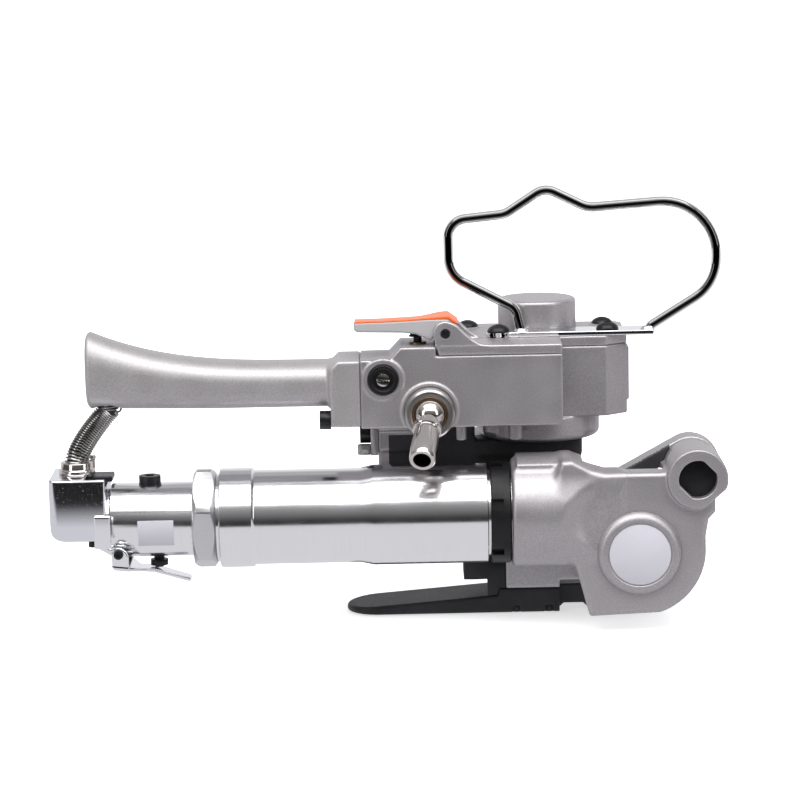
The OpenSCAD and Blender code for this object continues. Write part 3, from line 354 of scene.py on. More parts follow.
def poly(U, V, pts):
    """Signed distance to a polygon in the plane of U and V."""
    pts = np.asarray(pts, float)
    n = len(pts)
    d = None
    sign = None
    for i in range(n):
        a, b = pts[i], pts[(i + 1) % n]
        e = b - a
        wu, wv = U - a[0], V - a[1]
        t = np.clip((wu * e[0] + wv * e[1]) / (e @ e), 0, 1)
        q = (wu - e[0] * t) ** 2 + (wv - e[1] * t) ** 2
        d = q if d is None else np.minimum(d, q)
        c1, c2, c3 = V >= a[1], V < b[1], e[0] * wv > e[1] * wu
        flip = (c1 & c2 & c3) | (~c1 & ~c2 & ~c3)
        sign = flip if sign is None else sign ^ flip
    return np.where(sign, -1.0, 1.0) * np.sqrt(d)


def rounded_poly(U, V, pts, r):
    """A polygon whose outer corners are rounded by r."""
    pts = np.asarray(pts, float)
    if r <= 0:
        return poly(U, V, pts)
    n = len(pts)
    area = sum(pts[i][0] * pts[(i + 1) % n][1] - pts[(i + 1) % n][0] * pts[i][1] for i in range(n))
    if area < 0:
        pts = pts[::-1]
    out = []
    for i in range(n):
        a, b, c = pts[i - 1], pts[i], pts[(i + 1) % n]
        u, v = (a - b) / np.linalg.norm(a - b), (c - b) / np.linalg.norm(c - b)
        turn = u[0] * v[1] - u[1] * v[0]
        ang = math.acos(max(-1, min(1, float(u @ v))))
        if turn < 0 and ang < math.radians(172):
            t = min(r / math.tan(ang / 2), 0.45 * np.linalg.norm(a - b), 0.45 * np.linalg.norm(c - b))
            rr = t * math.tan(ang / 2)
            ctr = b + (u + v) / np.linalg.norm(u + v) * rr / math.sin(ang / 2)
            p, q = b + u * t - ctr, b + v * t - ctr
            a0, a1 = math.atan2(p[1], p[0]), math.atan2(q[1], q[0])
            d = (a1 - a0 + math.pi) % (2 * math.pi) - math.pi
            for k in range(7):
                out.append(ctr + rr * np.array([math.cos(a0 + d * k / 6), math.sin(a0 + d * k / 6)]))
        else:
            out.append(b)
    return poly(U, V, out)


def prism(P, plane, pts, span, r, corner=0.0):
    """A polygon in plane xz, xy or yz, extruded along the third axis, with rounded edges."""
    i, j, k = {"xz": (0, 2, 1), "xy": (0, 1, 2), "yz": (1, 2, 0)}[plane]
    return rmax(rounded_poly(P[i], P[j], pts, corner), slab(P[k], *span), r)


def solid(name, f, lo, hi, h, mat, node, replaces=True):
    """Meshes the surface f(P) = 0 between lo and hi with cells of h, in millimetres."""
    h = h * COARSE
    lo, hi = np.asarray(lo, float) - 2.1 * h, np.asarray(hi, float) + 2.1 * h
    ax = [np.arange(lo[i], hi[i] + h, h) for i in range(3)]
    F = f((ax[0][:, None, None], ax[1][None, :, None], ax[2][None, None, :])).astype(np.float32)
    F = np.broadcast_to(F, [len(a) for a in ax])
    neg = F < 0
    c = [neg[a:neg.shape[0] - 1 + a, b:neg.shape[1] - 1 + b, d:neg.shape[2] - 1 + d]
         for a in (0, 1) for b in (0, 1) for d in (0, 1)]
    count = sum(q.astype(np.int8) for q in c)
    cells = np.argwhere((count > 0) & (count < 8))
    ids = np.full(count.shape, -1, np.int64)
    ids[tuple(cells.T)] = np.arange(len(cells))
    acc = np.zeros((len(cells), 3))
    num = np.zeros(len(cells))
    for axis in range(3):
        o1, o2 = [q for q in range(3) if q != axis]
        for s in (0, 1):
            for t in (0, 1):
                p0 = cells.copy()
                p0[:, o1] += s
                p0[:, o2] += t
                p1 = p0.copy()
                p1[:, axis] += 1
                f0, f1 = F[tuple(p0.T)], F[tuple(p1.T)]
                hit = (f0 < 0) != (f1 < 0)
                w = np.where(hit, f0 / np.where(hit, f0 - f1, 1), 0)
                pos = p0.astype(float)
                pos[:, axis] += w
                acc[hit] += pos[hit]
                num[hit] += 1
    V = lo + acc / num[:, None] * h
    for _ in range(2):
        g = np.zeros_like(V)
        d0 = f(tuple(V.T))
        for i in range(3):
            W = V.copy()
            W[:, i] += 0.05
            g[:, i] = (f(tuple(W.T)) - d0) / 0.05
        gg = np.maximum((g ** 2).sum(1), 0.05)
        V -= np.clip(d0 / gg, -h / 2, h / 2)[:, None] * g
    quads = []
    for axis in range(3):
        o1, o2 = [q for q in range(3) if q != axis]
        a = [slice(None)] * 3
        b = [slice(None)] * 3
        a[axis], b[axis] = slice(0, -1), slice(1, None)
        e = np.argwhere(neg[tuple(a)] != neg[tuple(b)])
        e = e[(e[:, o1] > 0) & (e[:, o2] > 0) & (e[:, o1] < ids.shape[o1]) & (e[:, o2] < ids.shape[o2])]
        inside = neg[tuple(e.T)]

        def cell(s, t):
            q = e.copy()
            q[:, o1] -= s
            q[:, o2] -= t
            return ids[tuple(q.T)]
        quad = np.stack([cell(1, 1), cell(0, 1), cell(0, 0), cell(1, 0)], 1)
        flip = inside if axis != 1 else ~inside
        quad[~flip] = quad[~flip][:, ::-1]
        quads.append(quad)
    Q = np.concatenate(quads)
    ob = finish_mesh(name, V, Q.tolist(), mat, node)
    if replaces:
        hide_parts(node)
    return ob


def dress(node, mat, width, segments=2):
    """A CAD node as it is, with its own finish and its sharp edges broken by width in millimetres."""
    ob = NODE[node]
    ob.data.materials.clear()
    ob.data.materials.append(mat)
    w = ob.modifiers.new("weld", "WELD")
    w.merge_threshold = 2e-6
    if width:
        b = ob.modifiers.new("edge", "BEVEL")
        b.width = width * MM
        b.segments = segments
        b.limit_method = "ANGLE"
        b.angle_limit = EDGE_ANGLE
        b.harden_normals = True
        b.use_clamp_overlap = True
    else:
        e = ob.modifiers.new("sharp", "EDGE_SPLIT")
        e.split_angle = EDGE_ANGLE
    for p in ob.data.polygons:
        p.use_smooth = True

# ---------------------------------------------------------------- key sizes, read from the frame


def cad(node):
    lo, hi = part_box(node)
    return np.array(lo) / MM, np.array(hi) / MM


cap_lo, cap_hi = cad("wheel_cap")
WX, WZ = 0.0, (cap_lo[2] + cap_hi[2]) / 2
CASE_Z = 39.3                           # centre of the gear case's round end
tube_lo, tube_hi = cad("motor_tube")
MY, MZ = (tube_lo[1] + tube_hi[1]) / 2, (tube_lo[2] + tube_hi[2]) / 2
bush_lo, bush_hi = cad("pivot_bush")
PX, PZ = (bush_lo[0] + bush_hi[0]) / 2, (bush_lo[2] + bush_hi[2]) / 2
DOME = (-44.5, 0)                       # the weld motor stands upright on this line
cov_lo, cov_hi = cad("top_cover")
body_lo, body_hi = cad("valve_body")
sock_lo, sock_hi = cad("inlet_socket")
SOCKET = (sock_lo[0] + sock_hi[0]) / 2, (sock_lo[2] + sock_hi[2]) / 2
FRONT_Y, WALL_Y0, WALL_Y1 = -48, -17, -10.5     # front of the upper body, both faces of the frame's wall
BODY_Z0, BODY_Z1 = 98.4, 132.7                  # underside and top of the valve body
BASE_Z, SADDLE_X = 12.35, -35.6                 # top of the sole's saddle and its front end
SOLE_SCREWS = [(-57, -13.2), (-41, -13.2)]
SCREWS = [(-78, 13), (-64, -21.6), (-11.8, 15), (-11.4, -18.8)]     # cover screws
LX, LZ = -89.9, 143.3                           # thumb lever's pin
PINX, PINZ = -247, 42.5                         # throttle lever's pin
EX, TX0 = -252.2, -250.9                        # front of the end block, rear of the throttle body
# outline of the weld motor's block, seen from above
BLOCK = [(-84, -25), (-12.6, -25), (-2, -17), (-2, 22), (-6, 26), (-80, 26), (-84, 22)]

# ---------------------------------------------------------------- tension head


def line_pts(c, r, a0, a1, n=16):
    """Points of an arc of radius r about c, from angle a0 to a1."""
    return [(c[0] + r * math.cos(math.radians(a0 + (a1 - a0) * i / n)),
             c[1] + r * math.sin(math.radians(a0 + (a1 - a0) * i / n))) for i in range(n + 1)]


def head(P):
    x, y, z = P
    neck = rmax(cyl(P, "x", (MY, MZ), 26.1, (-60, -33), 2.2), y + 18.3, 1.5)
    inner = rmax(cyl(P, "x", (MY, MZ), 26.1, (-42, -8), 0), y + 31.15, 0.5)
    ridge = np.minimum(z - 77, (z - 83.5 + (x + 31.5) * 0.42) * 0.92)
    neck = np.minimum(neck, rmax(inner, ridge, 2.5))
    # a cone about the middle of the face scoops the end of the neck
    cone = (from_axis(P, "y", (-5, 56)) - 22 + 1.33 * (y + 62)) * 0.6
    neck = cut(neck, rmax(cone, y + 61.5, 2.5), 1.8)
    pad = rmax(box(P, (-57.5, -33), (-55.5, -31), (70, 83.5), 0.8), from_axis(P, "x", (MY, MZ)) - 28.4, 0.5)
    outline = [(-23.8, 7.9)] + line_pts((WX, CASE_Z), 31.7, -72, 4) + [
        (31.6, 46), (33, 54), (36.3, 57.5), (36.3, 70), (18, 78), (11, 77), (-16, 77), (-22, 78.6),
        (-31.5, 83.5), (-36.5, 83), (-38, 79), (-38, 37), (-33.2, 36.6), (-30.6, 33), (-28.6, 26),
        (-26.2, 17)]
    case = prism(P, "xz", outline, (-62, -31.1), 2.6, 1.5)
    brow = [(-36, 83.2), (-31.5, 83.6), (-22, 78.7), (-16, 77), (14, 77), (14, 60), (-36, 60)]
    case = np.minimum(case, prism(P, "xz", brow, (-61.6, -33), 5.2, 1.0))
    d = rmin(neck, case, 4.0)
    d = rmin(d, pad, 1.8)
    boss = cyl(P, "y", (PX, PZ), 14.3, (-66, -41.4), 0.9)
    boss = rmax(boss, (x - PX) * 0.647 - (z - PZ) * 0.765 - 12.3, 0.6)
    hub = cyl(P, "y", (PX, PZ), 13.3, (-42, -29.7), 0.7)
    d = rmin(d, rmin(boss, hub, 0.4), 1.2)
    d = np.minimum(d, cyl(P, "y", (WX, WZ), 10.4, (-32, -12.1), 0.5))
    # pocket behind the front wall
    d = cut(d, prism(P, "xz", [(-27, 95), (-24.5, 67), (12, 67), (13.4, 95)], (-50, -30), 1.2, 2.5), 0.7)
    for axis, c, rad, span, r in (
            ("x", (MY, MZ), 21.12, (-62, -50), 0.3), ("x", (MY, MZ), 12.6, (-51, -45), 0),
            ("x", (MY, MZ), 11.02, (-46, -37.9), 0), ("x", (MY, MZ), 7.62, (-38.5, 15), 0),
            ("x", (MY, MZ), 8.07, (14, 38), 0.3), ("y", (WX, WZ), 13.08, (-64, -36), 0.3),
            ("y", (WX, WZ), 8.07, (-37, -24.9), 0), ("y", (WX, WZ), 6.4, (-26, -10), 0.3)):
        d = cut(d, cyl(P, axis, c, rad, span, 0), r)
    # bore for the pivot shaft, with its flat
    a, b = (x - PX), (z - PZ)
    key = np.maximum(np.hypot(a, b) - 9.06, np.abs((a + b) * 0.7071) - 8.06)
    return cut(d, np.maximum(key, slab(y, -70, -28)), 0.25)


solid("head_casting", head, *cad("tension_housing"), 0.62, CAST, "tension_housing")

lathe("cap_turned", [
    (-51, 12.95), (-61.95, 12.95), (-61.95, 19.6), (-62.5, 20), (-63.2, 19.95), (-64.2, 19.55),
    (-65.1, 18.75), (-65.8, 17.7), (-66.15, 16.6), (-66.2, 15.6), (-66.0, 15.25), (-65.62, 15.2),
    (-65.6, 0.001), (-57.2, 0.001), (-57, 8.05), (-51, 8.05)
], "y", (WX, 0, WZ), CAST, "wheel_cap", 160, ["wheel_cap"])
dress("cap_disc", LABEL, 0.1)
lathe("locating_pin", [(-52, 0.001), (-52, 1.3), (-51.6, 1.7), (-49, 1.7), (-49, 0.001)],
      "y", (11, 0, 75.6), CHROME, "tension_housing", 32)
dress("pivot_shaft", BLACK, 0.45, 3)
dress("shaft_clip", GROUND, 0.12)
dress("worm_end_plug", GROUND, 0.3)
dress("lock_ring", RINGB, 0.35, 3)

# ---------------------------------------------------------------- motor

REAR_R, MID_R, SLEEVE_R = 23.75, 22.6, 24.0     # radii of the tube from its rear end to its front end
lathe("tube_turned", [
    (-200.6, 20.6), (-200.2, 21.0), (-199.0, 21.0), (-199.0, REAR_R - 0.7), (-198.4, REAR_R),
    (-183.4, REAR_R), (-183.0, REAR_R - 0.35), (-182.4, MID_R + 0.2), (-181.8, MID_R),
    (-132.4, MID_R), (-131.9, MID_R + 0.1),
    (-126.4, SLEEVE_R - 0.12), (-125.8, SLEEVE_R), (-71.6, SLEEVE_R), (-71.2, SLEEVE_R - 0.4), (-71.2, 21.0),
    (-50.6, 21.0), (-50.2, 20.6), (-50.2, 20.0), (-196.0, 20.0), (-196.0, 8.0), (-200.6, 8.0)
], "x", (0, MY, MZ), TUBE, "motor_tube", 192, ["motor_tube"])
dress("tube_nut", NUT, 0.35, 3)
dress("throttle_body", TUBE, 0.6, 4)
dress("body_label", LABEL, 0)
dress("plug_screw", BLACK, 0.3)


def elbow(P):
    x, y, z = P
    side = [(-279, 79), (-279, 48), (EX, 48), (EX, 79)]
    d = prism(P, "xz", side, (-62, -28), 1.0, 0.4)
    d = rmax(d, np.where((x < -270.4) & (z < 56.6), np.hypot(x + 270.4, z - 56.6) - 8.6, -50), 0.6)
    d = rmax(d, np.where((y < -54) & (z < 56), np.hypot(y + 54, z - 56) - 8, -50), 0.4)
    d = rmax(d, np.where((x < -275.5) & (y < -58.5), np.hypot(x + 275.5, y + 58.5) - 3.5, -50), 0.3)
    # recess behind the front wall
    d = cut(d, box(P, (-262, -250), (-59.8, -26), (74.6, 82), 0.5), 0.4)
    d = np.minimum(d, cyl(P, "x", (MY, MZ), 15.4, (EX - 0.1, TX0), 0.3))
    d = np.minimum(d, cyl(P, "x", (MY, MZ), 6, (TX0 - 0.1, -243.1), 0))
    d = cut(d, cyl(P, "x", (MY, MZ), 4.5, (-262, -242), 0))
    return cut(d, cyl(P, "z", (-267, MY), 4.5, (60, 80), 0))


def stop_block(P):
    return box(P, (-261.9, -250.05), (-43.9, -30.1), (74.65, 77.35), 0.5)


def end_post(P):
    head_of_post = cyl(P, "z", (-260, -34.4), 1.55, (84.3, 86.15), 0.3)
    return rmin(cyl(P, "z", (-260, -34.4), 1.1, (77, 85.4), 0.2), head_of_post, 0.3)


solid("elbow_plated", elbow, *cad("end_block"), 0.55, PITTED, "end_block")
solid("stop_block", stop_block, (-262, -44, 74), (-250, -30, 78), 0.5, BLACK, "end_block", replaces=False)
solid("end_post", end_post, (-263, -38, 77), (-257, -31, 87), 0.3, NICKEL, "end_block", replaces=False)

def bracket(P):
    d = np.minimum(box(P, (-257.8, -250), (-64, -62.05), (46.2, 62), 0.7),
                   box(P, (-256.4, -252.4), (-63, -26.1), (46.4, 47.9), 0.3))
    ear = [(-252.5, 47.4), (-256.4, 47.4), (-256.4, 45)] + line_pts((PINX, PINZ), 2.9, 215, 380, 12) + [
        (-244.7, 44.8), (-250.8, 44.9), (-252.5, 45.8)]
    for span in ((-57.9, -56.1), (-27.9, -26.1)):
        d = np.minimum(d, prism(P, "xz", ear, span, 0.4))
    return cut(d, cyl(P, "y", (PINX, PINZ), 1.85, (-59, -25), 0))


def trigger(P):
    x, y = P[:2]
    sheet = prism(P, "xz", [
        (-249.2, 35), (-242.2, 34.2), (-238.8, 31.5), (-231.6, 31), (-214.6, 25.8), (-213.8, 26.4),
        (-213.9, 27.5), (-231, 32.7), (-238.4, 33.2), (-241.8, 35.9), (-250.2, 36.8), (-250.2, 36.4)
    ], (-59.9, -24.1), 0.5)
    sheet = rmax(sheet, rounded_poly(x, y, [
        (-251, -60), (-242.1, -60), (-238.6, -47.6), (-231, -47.4), (-214.4, -46.2), (-213.6, -45.4),
        (-213.6, -38.6), (-214.4, -37.8), (-231, -36.6), (-240.5, -36.4), (-244.8, -25.5), (-244.8, -24),
        (-251, -24)], 0), 0.4)
    ear = [(-242.2, 34.2), (-242.2, 41.6), (-243.2, 43.9)] + line_pts((PINX, PINZ), 3.3, 60, 190, 12) + [
        (-250.2, 36.4), (-249.2, 35)]
    for span in ((-59.9, -58.1), (-25.9, -24.1)):
        sheet = rmin(sheet, prism(P, "xz", ear, span, 0.5), 0.5)
    return cut(sheet, cyl(P, "y", (PINX, PINZ), 1.85, (-61, -23), 0))


solid("bracket_plated", bracket, *cad("lever_bracket"), 0.32, CHROME, "lever_bracket")
solid("trigger_plated", trigger, *cad("throttle_lever"), 0.32, CHROME, "throttle_lever")
dress("throttle_pin", BLACK, 0.2)
dress("throttle_button", BLACK, 0.4)
dress("hose_fitting", NICKEL, 0.4)

# ---------------------------------------------------------------- handle

grip_lo, grip_hi = cad("handle_grip")


def grip(P):
    x, y, z = P
    t = np.maximum(0, (-150 - x) / 111.4)
    top = 129.6 + 16.5 * t ** 3.1
    low = 107.7 + 1.1 * np.clip((-203 - x) / 60, 0, 1)
    c, b = (top + low) / 2, (top - low) / 2
    half, e = 14.9, 2.7
    u, v = np.abs(y + 31) / half, np.abs(z - c) / b
    body = ((u ** e + v ** e) ** (1 / e) - 1) * np.minimum(half, b) * 0.95
    body = rmax(body, slab(x, -261.4, -140), 2.6)
    block = prism(P, "xz", [(-145, 99.3), (-130.75, 99.3), (-130.75, 131.1), (-141.2, 131.1), (-145, 127.5)],
                  (FRONT_Y, -14), 1.2, 1.0)
    d = rmin(body, block, 2.5)
    d = np.maximum(d, grip_lo[0] - x)
    d = cut(d, cyl(P, "x", (-31, 118), 5, (-256, -129), 0))
    d = cut(d, cyl(P, "z", (-251.5, -33.2), 7.8, (98, 118), 0), 0.4)
    return cut(d, cyl(P, "x", (-42, 102.2), 2.2, (-146, -129), 0))


solid("grip_casting", grip, grip_lo, grip_hi, 0.8, GRIP, "handle_grip")
dress("handle_screws", BLACK, 0.25)

# ---------------------------------------------------------------- valve body, cover, weld motor


def valve(P):
    x, _, z = P
    d = prism(P, "xz", [
        (-130.7, BODY_Z0), (-84, BODY_Z0), (-84, BODY_Z1), (-94.4, BODY_Z1), (-94.6, 137.1), (-111.4, 137.1),
        (-116.6, 131.5), (-130.7, 131.3)], (FRONT_Y, -14), 1.1, 0.8)
    right = prism(P, "xz", [
        (-90, BODY_Z0), (-36.8, BODY_Z0), (-34.6, 100.2), (-34.6, BODY_Z1), (-90, BODY_Z1)
    ], (FRONT_Y, -25.05), 0.9, 0.5)
    d = np.minimum(d, right)
    d = np.maximum(d, np.where(x > -93.4, z - 132.65, -50))
    knob, plunger = (-119.8, 122), (-103, -34)
    d = rmin(d, cyl(P, "y", knob, 10, (-48.8, -40), 0.35), 0.8)
    swell = rmax(cyl(P, "y", SOCKET, 13.4, (-48.7, -40), 0.5), 98.5 - z, 0.8)
    d = rmin(d, swell, 1.2)
    for axis, c, rad, span, r in (
            ("y", knob, 7.2, (-52, -22), 0.25), ("y", SOCKET, 11.9, (-52, -45), 0.25),
            ("y", SOCKET, 9, (-46, -30), 0),
            ("z", plunger, 4.2, (118, 139), 0.3), ("z", plunger, 2.2, (104, 119), 0),
            ("x", (-31, 116), 5, (-132, -100), 0), ("x", (-42, 102.2), 2.1, (-132, -119), 0)):
        d = cut(d, cyl(P, axis, c, rad, span, 0), r)
    d = np.minimum(d, cyl(P, "z", (-83, -40), 2.5, (91, 107), 0.4))
    return np.minimum(d, cyl(P, "z", (-57, -36), 3.4, (90, 107), 0.4))


solid("valve_casting", valve, body_lo, body_hi, 0.6, CAST, "valve_body")


def cover(P):
    y = P[1]
    d = prism(P, "xy", [
        (-93.2, FRONT_Y), (-34.6, FRONT_Y), (-34.6, -25), (-12.6, -25), (-2, -17), (-2, 22), (-6, 26),
        (-80, 26), (-84, 22), (-84, -18), (-93.2, -18)], (132.75, 137.5), 0.7, 0.8)
    ear = [(-93.2, 133.8), (-94.7, 138.2)] + line_pts((LX, LZ), 5.9, 205, 62, 14) + [
        (-84.4, 147.2), (-80.4, 143.2), (-77, 140.2), (-73.6, 138.2), (-70, 137.3), (-66, 136.9),
        (-66, 133.8)]
    for span in ((FRONT_Y, -43.9), (-24.1, -19.9)):
        d = rmin(d, prism(P, "xz", ear, span, 0.7, 0.5), 0.8)
    d = rmin(d, cyl(P, "z", DOME, 18.9, (134, 153.5), 1.7), 1.3)
    for i, p in enumerate(SCREWS):
        d = rmin(d, cyl(P, "z", p, 6.4, (134, 138.0), 0.4), 1.0) if i in (0, 2) else d
        d = cut(d, cyl(P, "z", p, 2.8, (131, 140), 0))
    d = cut(d, cyl(P, "z", DOME, 15.5, (130, 149), 0))
    d = cut(d, np.maximum(from_axis(P, "y", (LX, LZ)) - 9.4, slab(y, -43.9, -24.1)), 0.3)
    return cut(d, cyl(P, "y", (LX, LZ), 2.05, (-50, -18), 0), 0.25)


solid("cover_casting", cover, cov_lo, cov_hi, 0.6, COVER, "top_cover")


def weld_block(P):
    z = P[2]
    d = prism(P, "xy", BLOCK, (BODY_Z0, BODY_Z1), 1.0, 0.8)
    flange = rmax(cyl(P, "z", DOME, 29.8, (86.6, 104), 2.6), z - 98.36, 0.2)
    for a in (-35, 40, 150, 215):
        lug = (DOME[0] + 27.5 * math.cos(math.radians(a)), 27.5 * math.sin(math.radians(a)))
        flange = rmin(flange, rmax(cyl(P, "z", lug, 5.2, (90, 104), 0.8), z - 98.36, 0.2), 2.0)
    d = np.minimum(d, rmax(flange, z - 98.38, 0))
    d = np.minimum(d, cyl(P, "z", DOME, 24.8, (86, 100), 0.3))
    rib = [(-3, -14), (-0.6, -11.5), (-0.6, 18.5), (-3, 21)]
    d = np.minimum(d, prism(P, "xy", rib, (104, 130), 0.3, 0.3))
    for rad, span in ((17, (102, 140)), (6.2, (80, 103)), (11.02, (96, 102.05))):
        d = cut(d, cyl(P, "z", DOME, rad, span, 0))
    for p in SCREWS:
        d = cut(d, cyl(P, "z", p, 2.6, (112, 140), 0))
    return d


solid("weld_motor_casting", weld_block, *cad("weld_motor_housing"), 0.75, CAST, "weld_motor_housing")
dress("cover_screws", BLACK, 0.15)

# ---------------------------------------------------------------- frame and sole

def frame_cast(P):
    x, y, z = P
    d = prism(P, "xz", [
        (-123, BODY_Z0), (-123, 72), (-84, 46), (-82.5, 30.02), (-62, 30.02), (-62, BASE_Z),
        (SADDLE_X, BASE_Z), (SADDLE_X, 16), (-24.5, 16), (-24.5, 86), (-76, 86), (-76, BODY_Z0)
    ], (WALL_Y0, WALL_Y1), 1.0, 0.8)
    deck = [(-76, WALL_Y0), (-24.5, WALL_Y0), (-24.5, 24), (-76, 24)]
    d = rmin(d, prism(P, "xy", deck, (79, 86), 0.9, 4), 2.5)
    d = rmin(d, cyl(P, "z", DOME, 14, (30, 80), 0.6), 2.0)
    # rear column, the ledge under the valve body, and the web behind them
    d = rmin(d, box(P, (-123, -105), (-24, -11), (82.5, BODY_Z0), 1.2), 1.5)
    d = rmin(d, box(P, (-123, -104), (-28, -11), (93.5, BODY_Z0), 1.2), 1.2)
    d = rmin(d, box(P, (-123, -84), (-13, 12), (92, BODY_Z0), 1.2), 1.5)
    # tapering arm that carries the pivot
    a = np.array([PX, PZ])
    b = np.array([-19.8, 52.0])
    t = np.clip(((x - a[0]) * (b[0] - a[0]) + (z - a[1]) * (b[1] - a[1])) / ((b - a) @ (b - a)), 0, 1)
    arm = np.hypot(x - a[0] - t * (b[0] - a[0]), z - a[1] - t * (b[1] - a[1])) - (14.3 - 3.4 * t)
    arm = rmax(arm, slab(y, -29.3, -15.7), 0.8)
    root = prism(P, "xz", [(-30.8, 40), (-13, 40), (-13, 63), (-30.8, 63)], (-16.7, -10.6), 0.6, 1.5)
    d = rmin(d, arm, 1.2)
    d = rmin(d, root, 1.2)
    d = cut(d, cyl(P, "y", (PX, PZ), 10.5, (-31, -14), 0), 0.25)
    d = cut(d, cyl(P, "y", (-1.3, WZ + 1.1), 14.5, (-31, -9), 0), 0.5)
    for rad, span in ((11.02, (80, 88)), (6.2, (28, 87)), (12.1, (12, 50))):
        d = cut(d, cyl(P, "z", DOME, rad, span, 0))
    for p in SOLE_SCREWS:
        d = cut(d, cyl(P, "z", p, 1.6, (11, 26), 0))
    d = cut(d, cyl(P, "z", (-77.5, -13.2), 1.3, (29, 39), 0))
    return cut(d, cyl(P, "x", (-17, 91.5), 2.5, (-124, -110), 0))


solid("frame_casting", frame_cast, *cad("main_frame"), 0.8, CAST, "main_frame")
# painted shade: the frame wall that lies in the motor's shade, and the front faces of the pivot arm, are
# painted nearly black with a dark copy of the cast alloy
frame_ob = D.objects["frame_casting"]
frame_ob.data.materials.append(PAINTED_SHADE)
for p in frame_ob.data.polygons:
    c = p.center / MM
    wall = -104 < c.x < -24 and 27 < c.z < 97 and c.y < 0 or -117.5 < c.x <= -104 and c.z < 91 and c.y < -2
    arm = -24 <= c.x < 17 and p.normal.y < -0.45
    p.material_index = 1 if wall or arm else 0


def sole(P):
    x, y, z = P
    nose, mid = 15.5, -0.5
    out = np.where(x < -124.5, np.hypot(x + 124.5, y - mid) - nose, np.abs(y - mid) - nose)
    side = [(-141, 0), (SADDLE_X, 0), (SADDLE_X, 12.3), (-65, 12.3), (-66.2, 8.8), (-141, 3.0)]
    wedge = rounded_poly(x, z, side, 0)
    d = rmax(rmax(out, wedge, 1.1), x - SADDLE_X, 0.6)
    toe = prism(P, "xz", [
        (-37, 0), (-33.6, 3), (-24, 3), (-21, 0), (12, 0), (16, 4), (16, 12.3), (-37, 12.3)
    ], (-10.5, 15), 0.5, 0.5)
    step = box(P, (SADDLE_X, 14), (-10.5, 13), (11, 12.7), 0.3)
    d = np.minimum(np.minimum(d, toe), step)
    d = cut(d, box(P, (-13, 13), (-9.6, 9.6), (10, 22), 0), 0)
    d = cut(d, box(P, (-60, -36.6), (-9.6, 9.6), (10, 22), 0), 0)
    for p in SOLE_SCREWS:
        d = cut(d, cyl(P, "z", p, 1.6, (-1, 13.5), 0))
        d = cut(d, cyl(P, "z", p, 2.6, (-1, 3.5), 0))
    return d


solid("sole_plate", sole, *cad("base_plate"), 0.6, BASEB, "base_plate")
dress("strap_guide", BLACK, 0.4)
dress("end_plate", CAST, 0.8, 3)
dress("frame_screws", BLACK, 0.25)
dress("gripper_plate", TOOL, 0)
dress("weld_anvil", TOOL, 0)
dress("pivot_bush", BRONZE, 0.2)

# ---------------------------------------------------------------- inlet, timer, lever

dress("inlet_socket", SATIN, 0.5, 3)
dress("swivel_ring", BRONZE, 0.3)
# the nipple: a ball, a collar and a barbed sleeve, bored through
BALL = 7.5
nipple = lathe("nipple_turned", [
    *((BALL * math.cos(math.radians(a)), BALL * math.sin(math.radians(a))) for a in range(145, 42, -3)),
    (5.75, 4.8), (9.2, 4.8), (9.5, 5.0), (9.55, 6.5), (9.8, 6.85), (12.0, 6.85), (12.3, 6.6), (12.4, 6.0),
    (12.8, 5.75), (13.4, 5.8), (21, 6.35), (24.5, 6.5), (27, 6.5), (30.5, 6.3), (32.6, 6.05),
    (32.95, 5.8), (33, 5.5), (33, 4.6),
    (32.8, 4.25), (32.4, 4.2), (-6.0, 4.2)], "z", (0, 0, 0), NICKEL, "inlet_nipple", 96, ["inlet_nipple"])
aim_nipple = Vector((0, 0, 1)).rotation_difference(Vector((-0.1327, -0.848, -0.513)))
nipple.data.transform(Matrix.Translation(Vector((-98, -57, 106.5)) * MM) @ aim_nipple.to_matrix().to_4x4())
dress("timer_bezel", BLACK, 0.5, 3)
dress("timer_screw", NICKEL, 0.15)
dress("lever_pin", BLACK, 0.3)
dress("plunger_bush", BRONZE, 0.3)
dress("valve_plunger", BLACK, 0.4)


def pad_seat(x, y):
    """Height of the joint between the lever and its pad, which falls away from the front edge."""
    front = np.interp(x, (-133, -120, -108, -98, -88.6, -83), (148.5, 148.6, 149.0, 149.5, 149.6, 145.8))
    return front - 0.075 * (y + 43.6) * np.clip((-90 - x) / 12, 0, 1)


def thumb(P):
    x, y, z = P
    outline = [(-131.6, 144.1), (-133.2, 145.2), (-133.2, 149.0), (-120, 149.0), (-108, 149.4), (-96, 149.9),
               (-88.6, 149.6), (-84.6, 146.9)] + line_pts((LX, LZ), 5.5, 20, -160, 14) + [
               (-96.6, 139.6), (-100, 141.0), (-104, 142.7), (-110, 143.5), (-120, 143.8)]
    d = prism(P, "xz", outline, (-43.6, -24.4), 1.0, 0.6)
    d = np.where(x < -88.6, rmax(d, z - pad_seat(x, y), 0.2), d)
    return cut(d, cyl(P, "y", (LX, LZ), 2.06, (-46, -22), 0), 0.2)


def pad(P):
    x, y, z = P
    outline = [(-133.1, 145.5), (-132.9, 149.0), (-132.0, 149.4), (-120, 149.5), (-108, 149.9), (-98, 150.6),
               (-88.4, 151.2), (-83.5, 147.7), (-84.2, 147.0), (-88.6, 148.6), (-94, 147), (-110, 145.5)]
    d = prism(P, "xz", outline, (-43.3, -24.7), 0.5, 0.3)
    seat = pad_seat(x, y)
    rise = np.interp(x, (-133, -98, -88), (0.95, 1.15, 2))
    return rmax(d, np.maximum(seat - 0.05 - z, z - seat - rise), 0.3)


solid("thumb_lever_shell", thumb, *cad("thumb_lever"), 0.35, LEVER, "thumb_lever")
solid("thumb_lever_pad", pad, *cad("lever_pad"), 0.3, PAD, "lever_pad")

# ---------------------------------------------------------------- hanger

HY = -20.5                              # plane of the wire bail


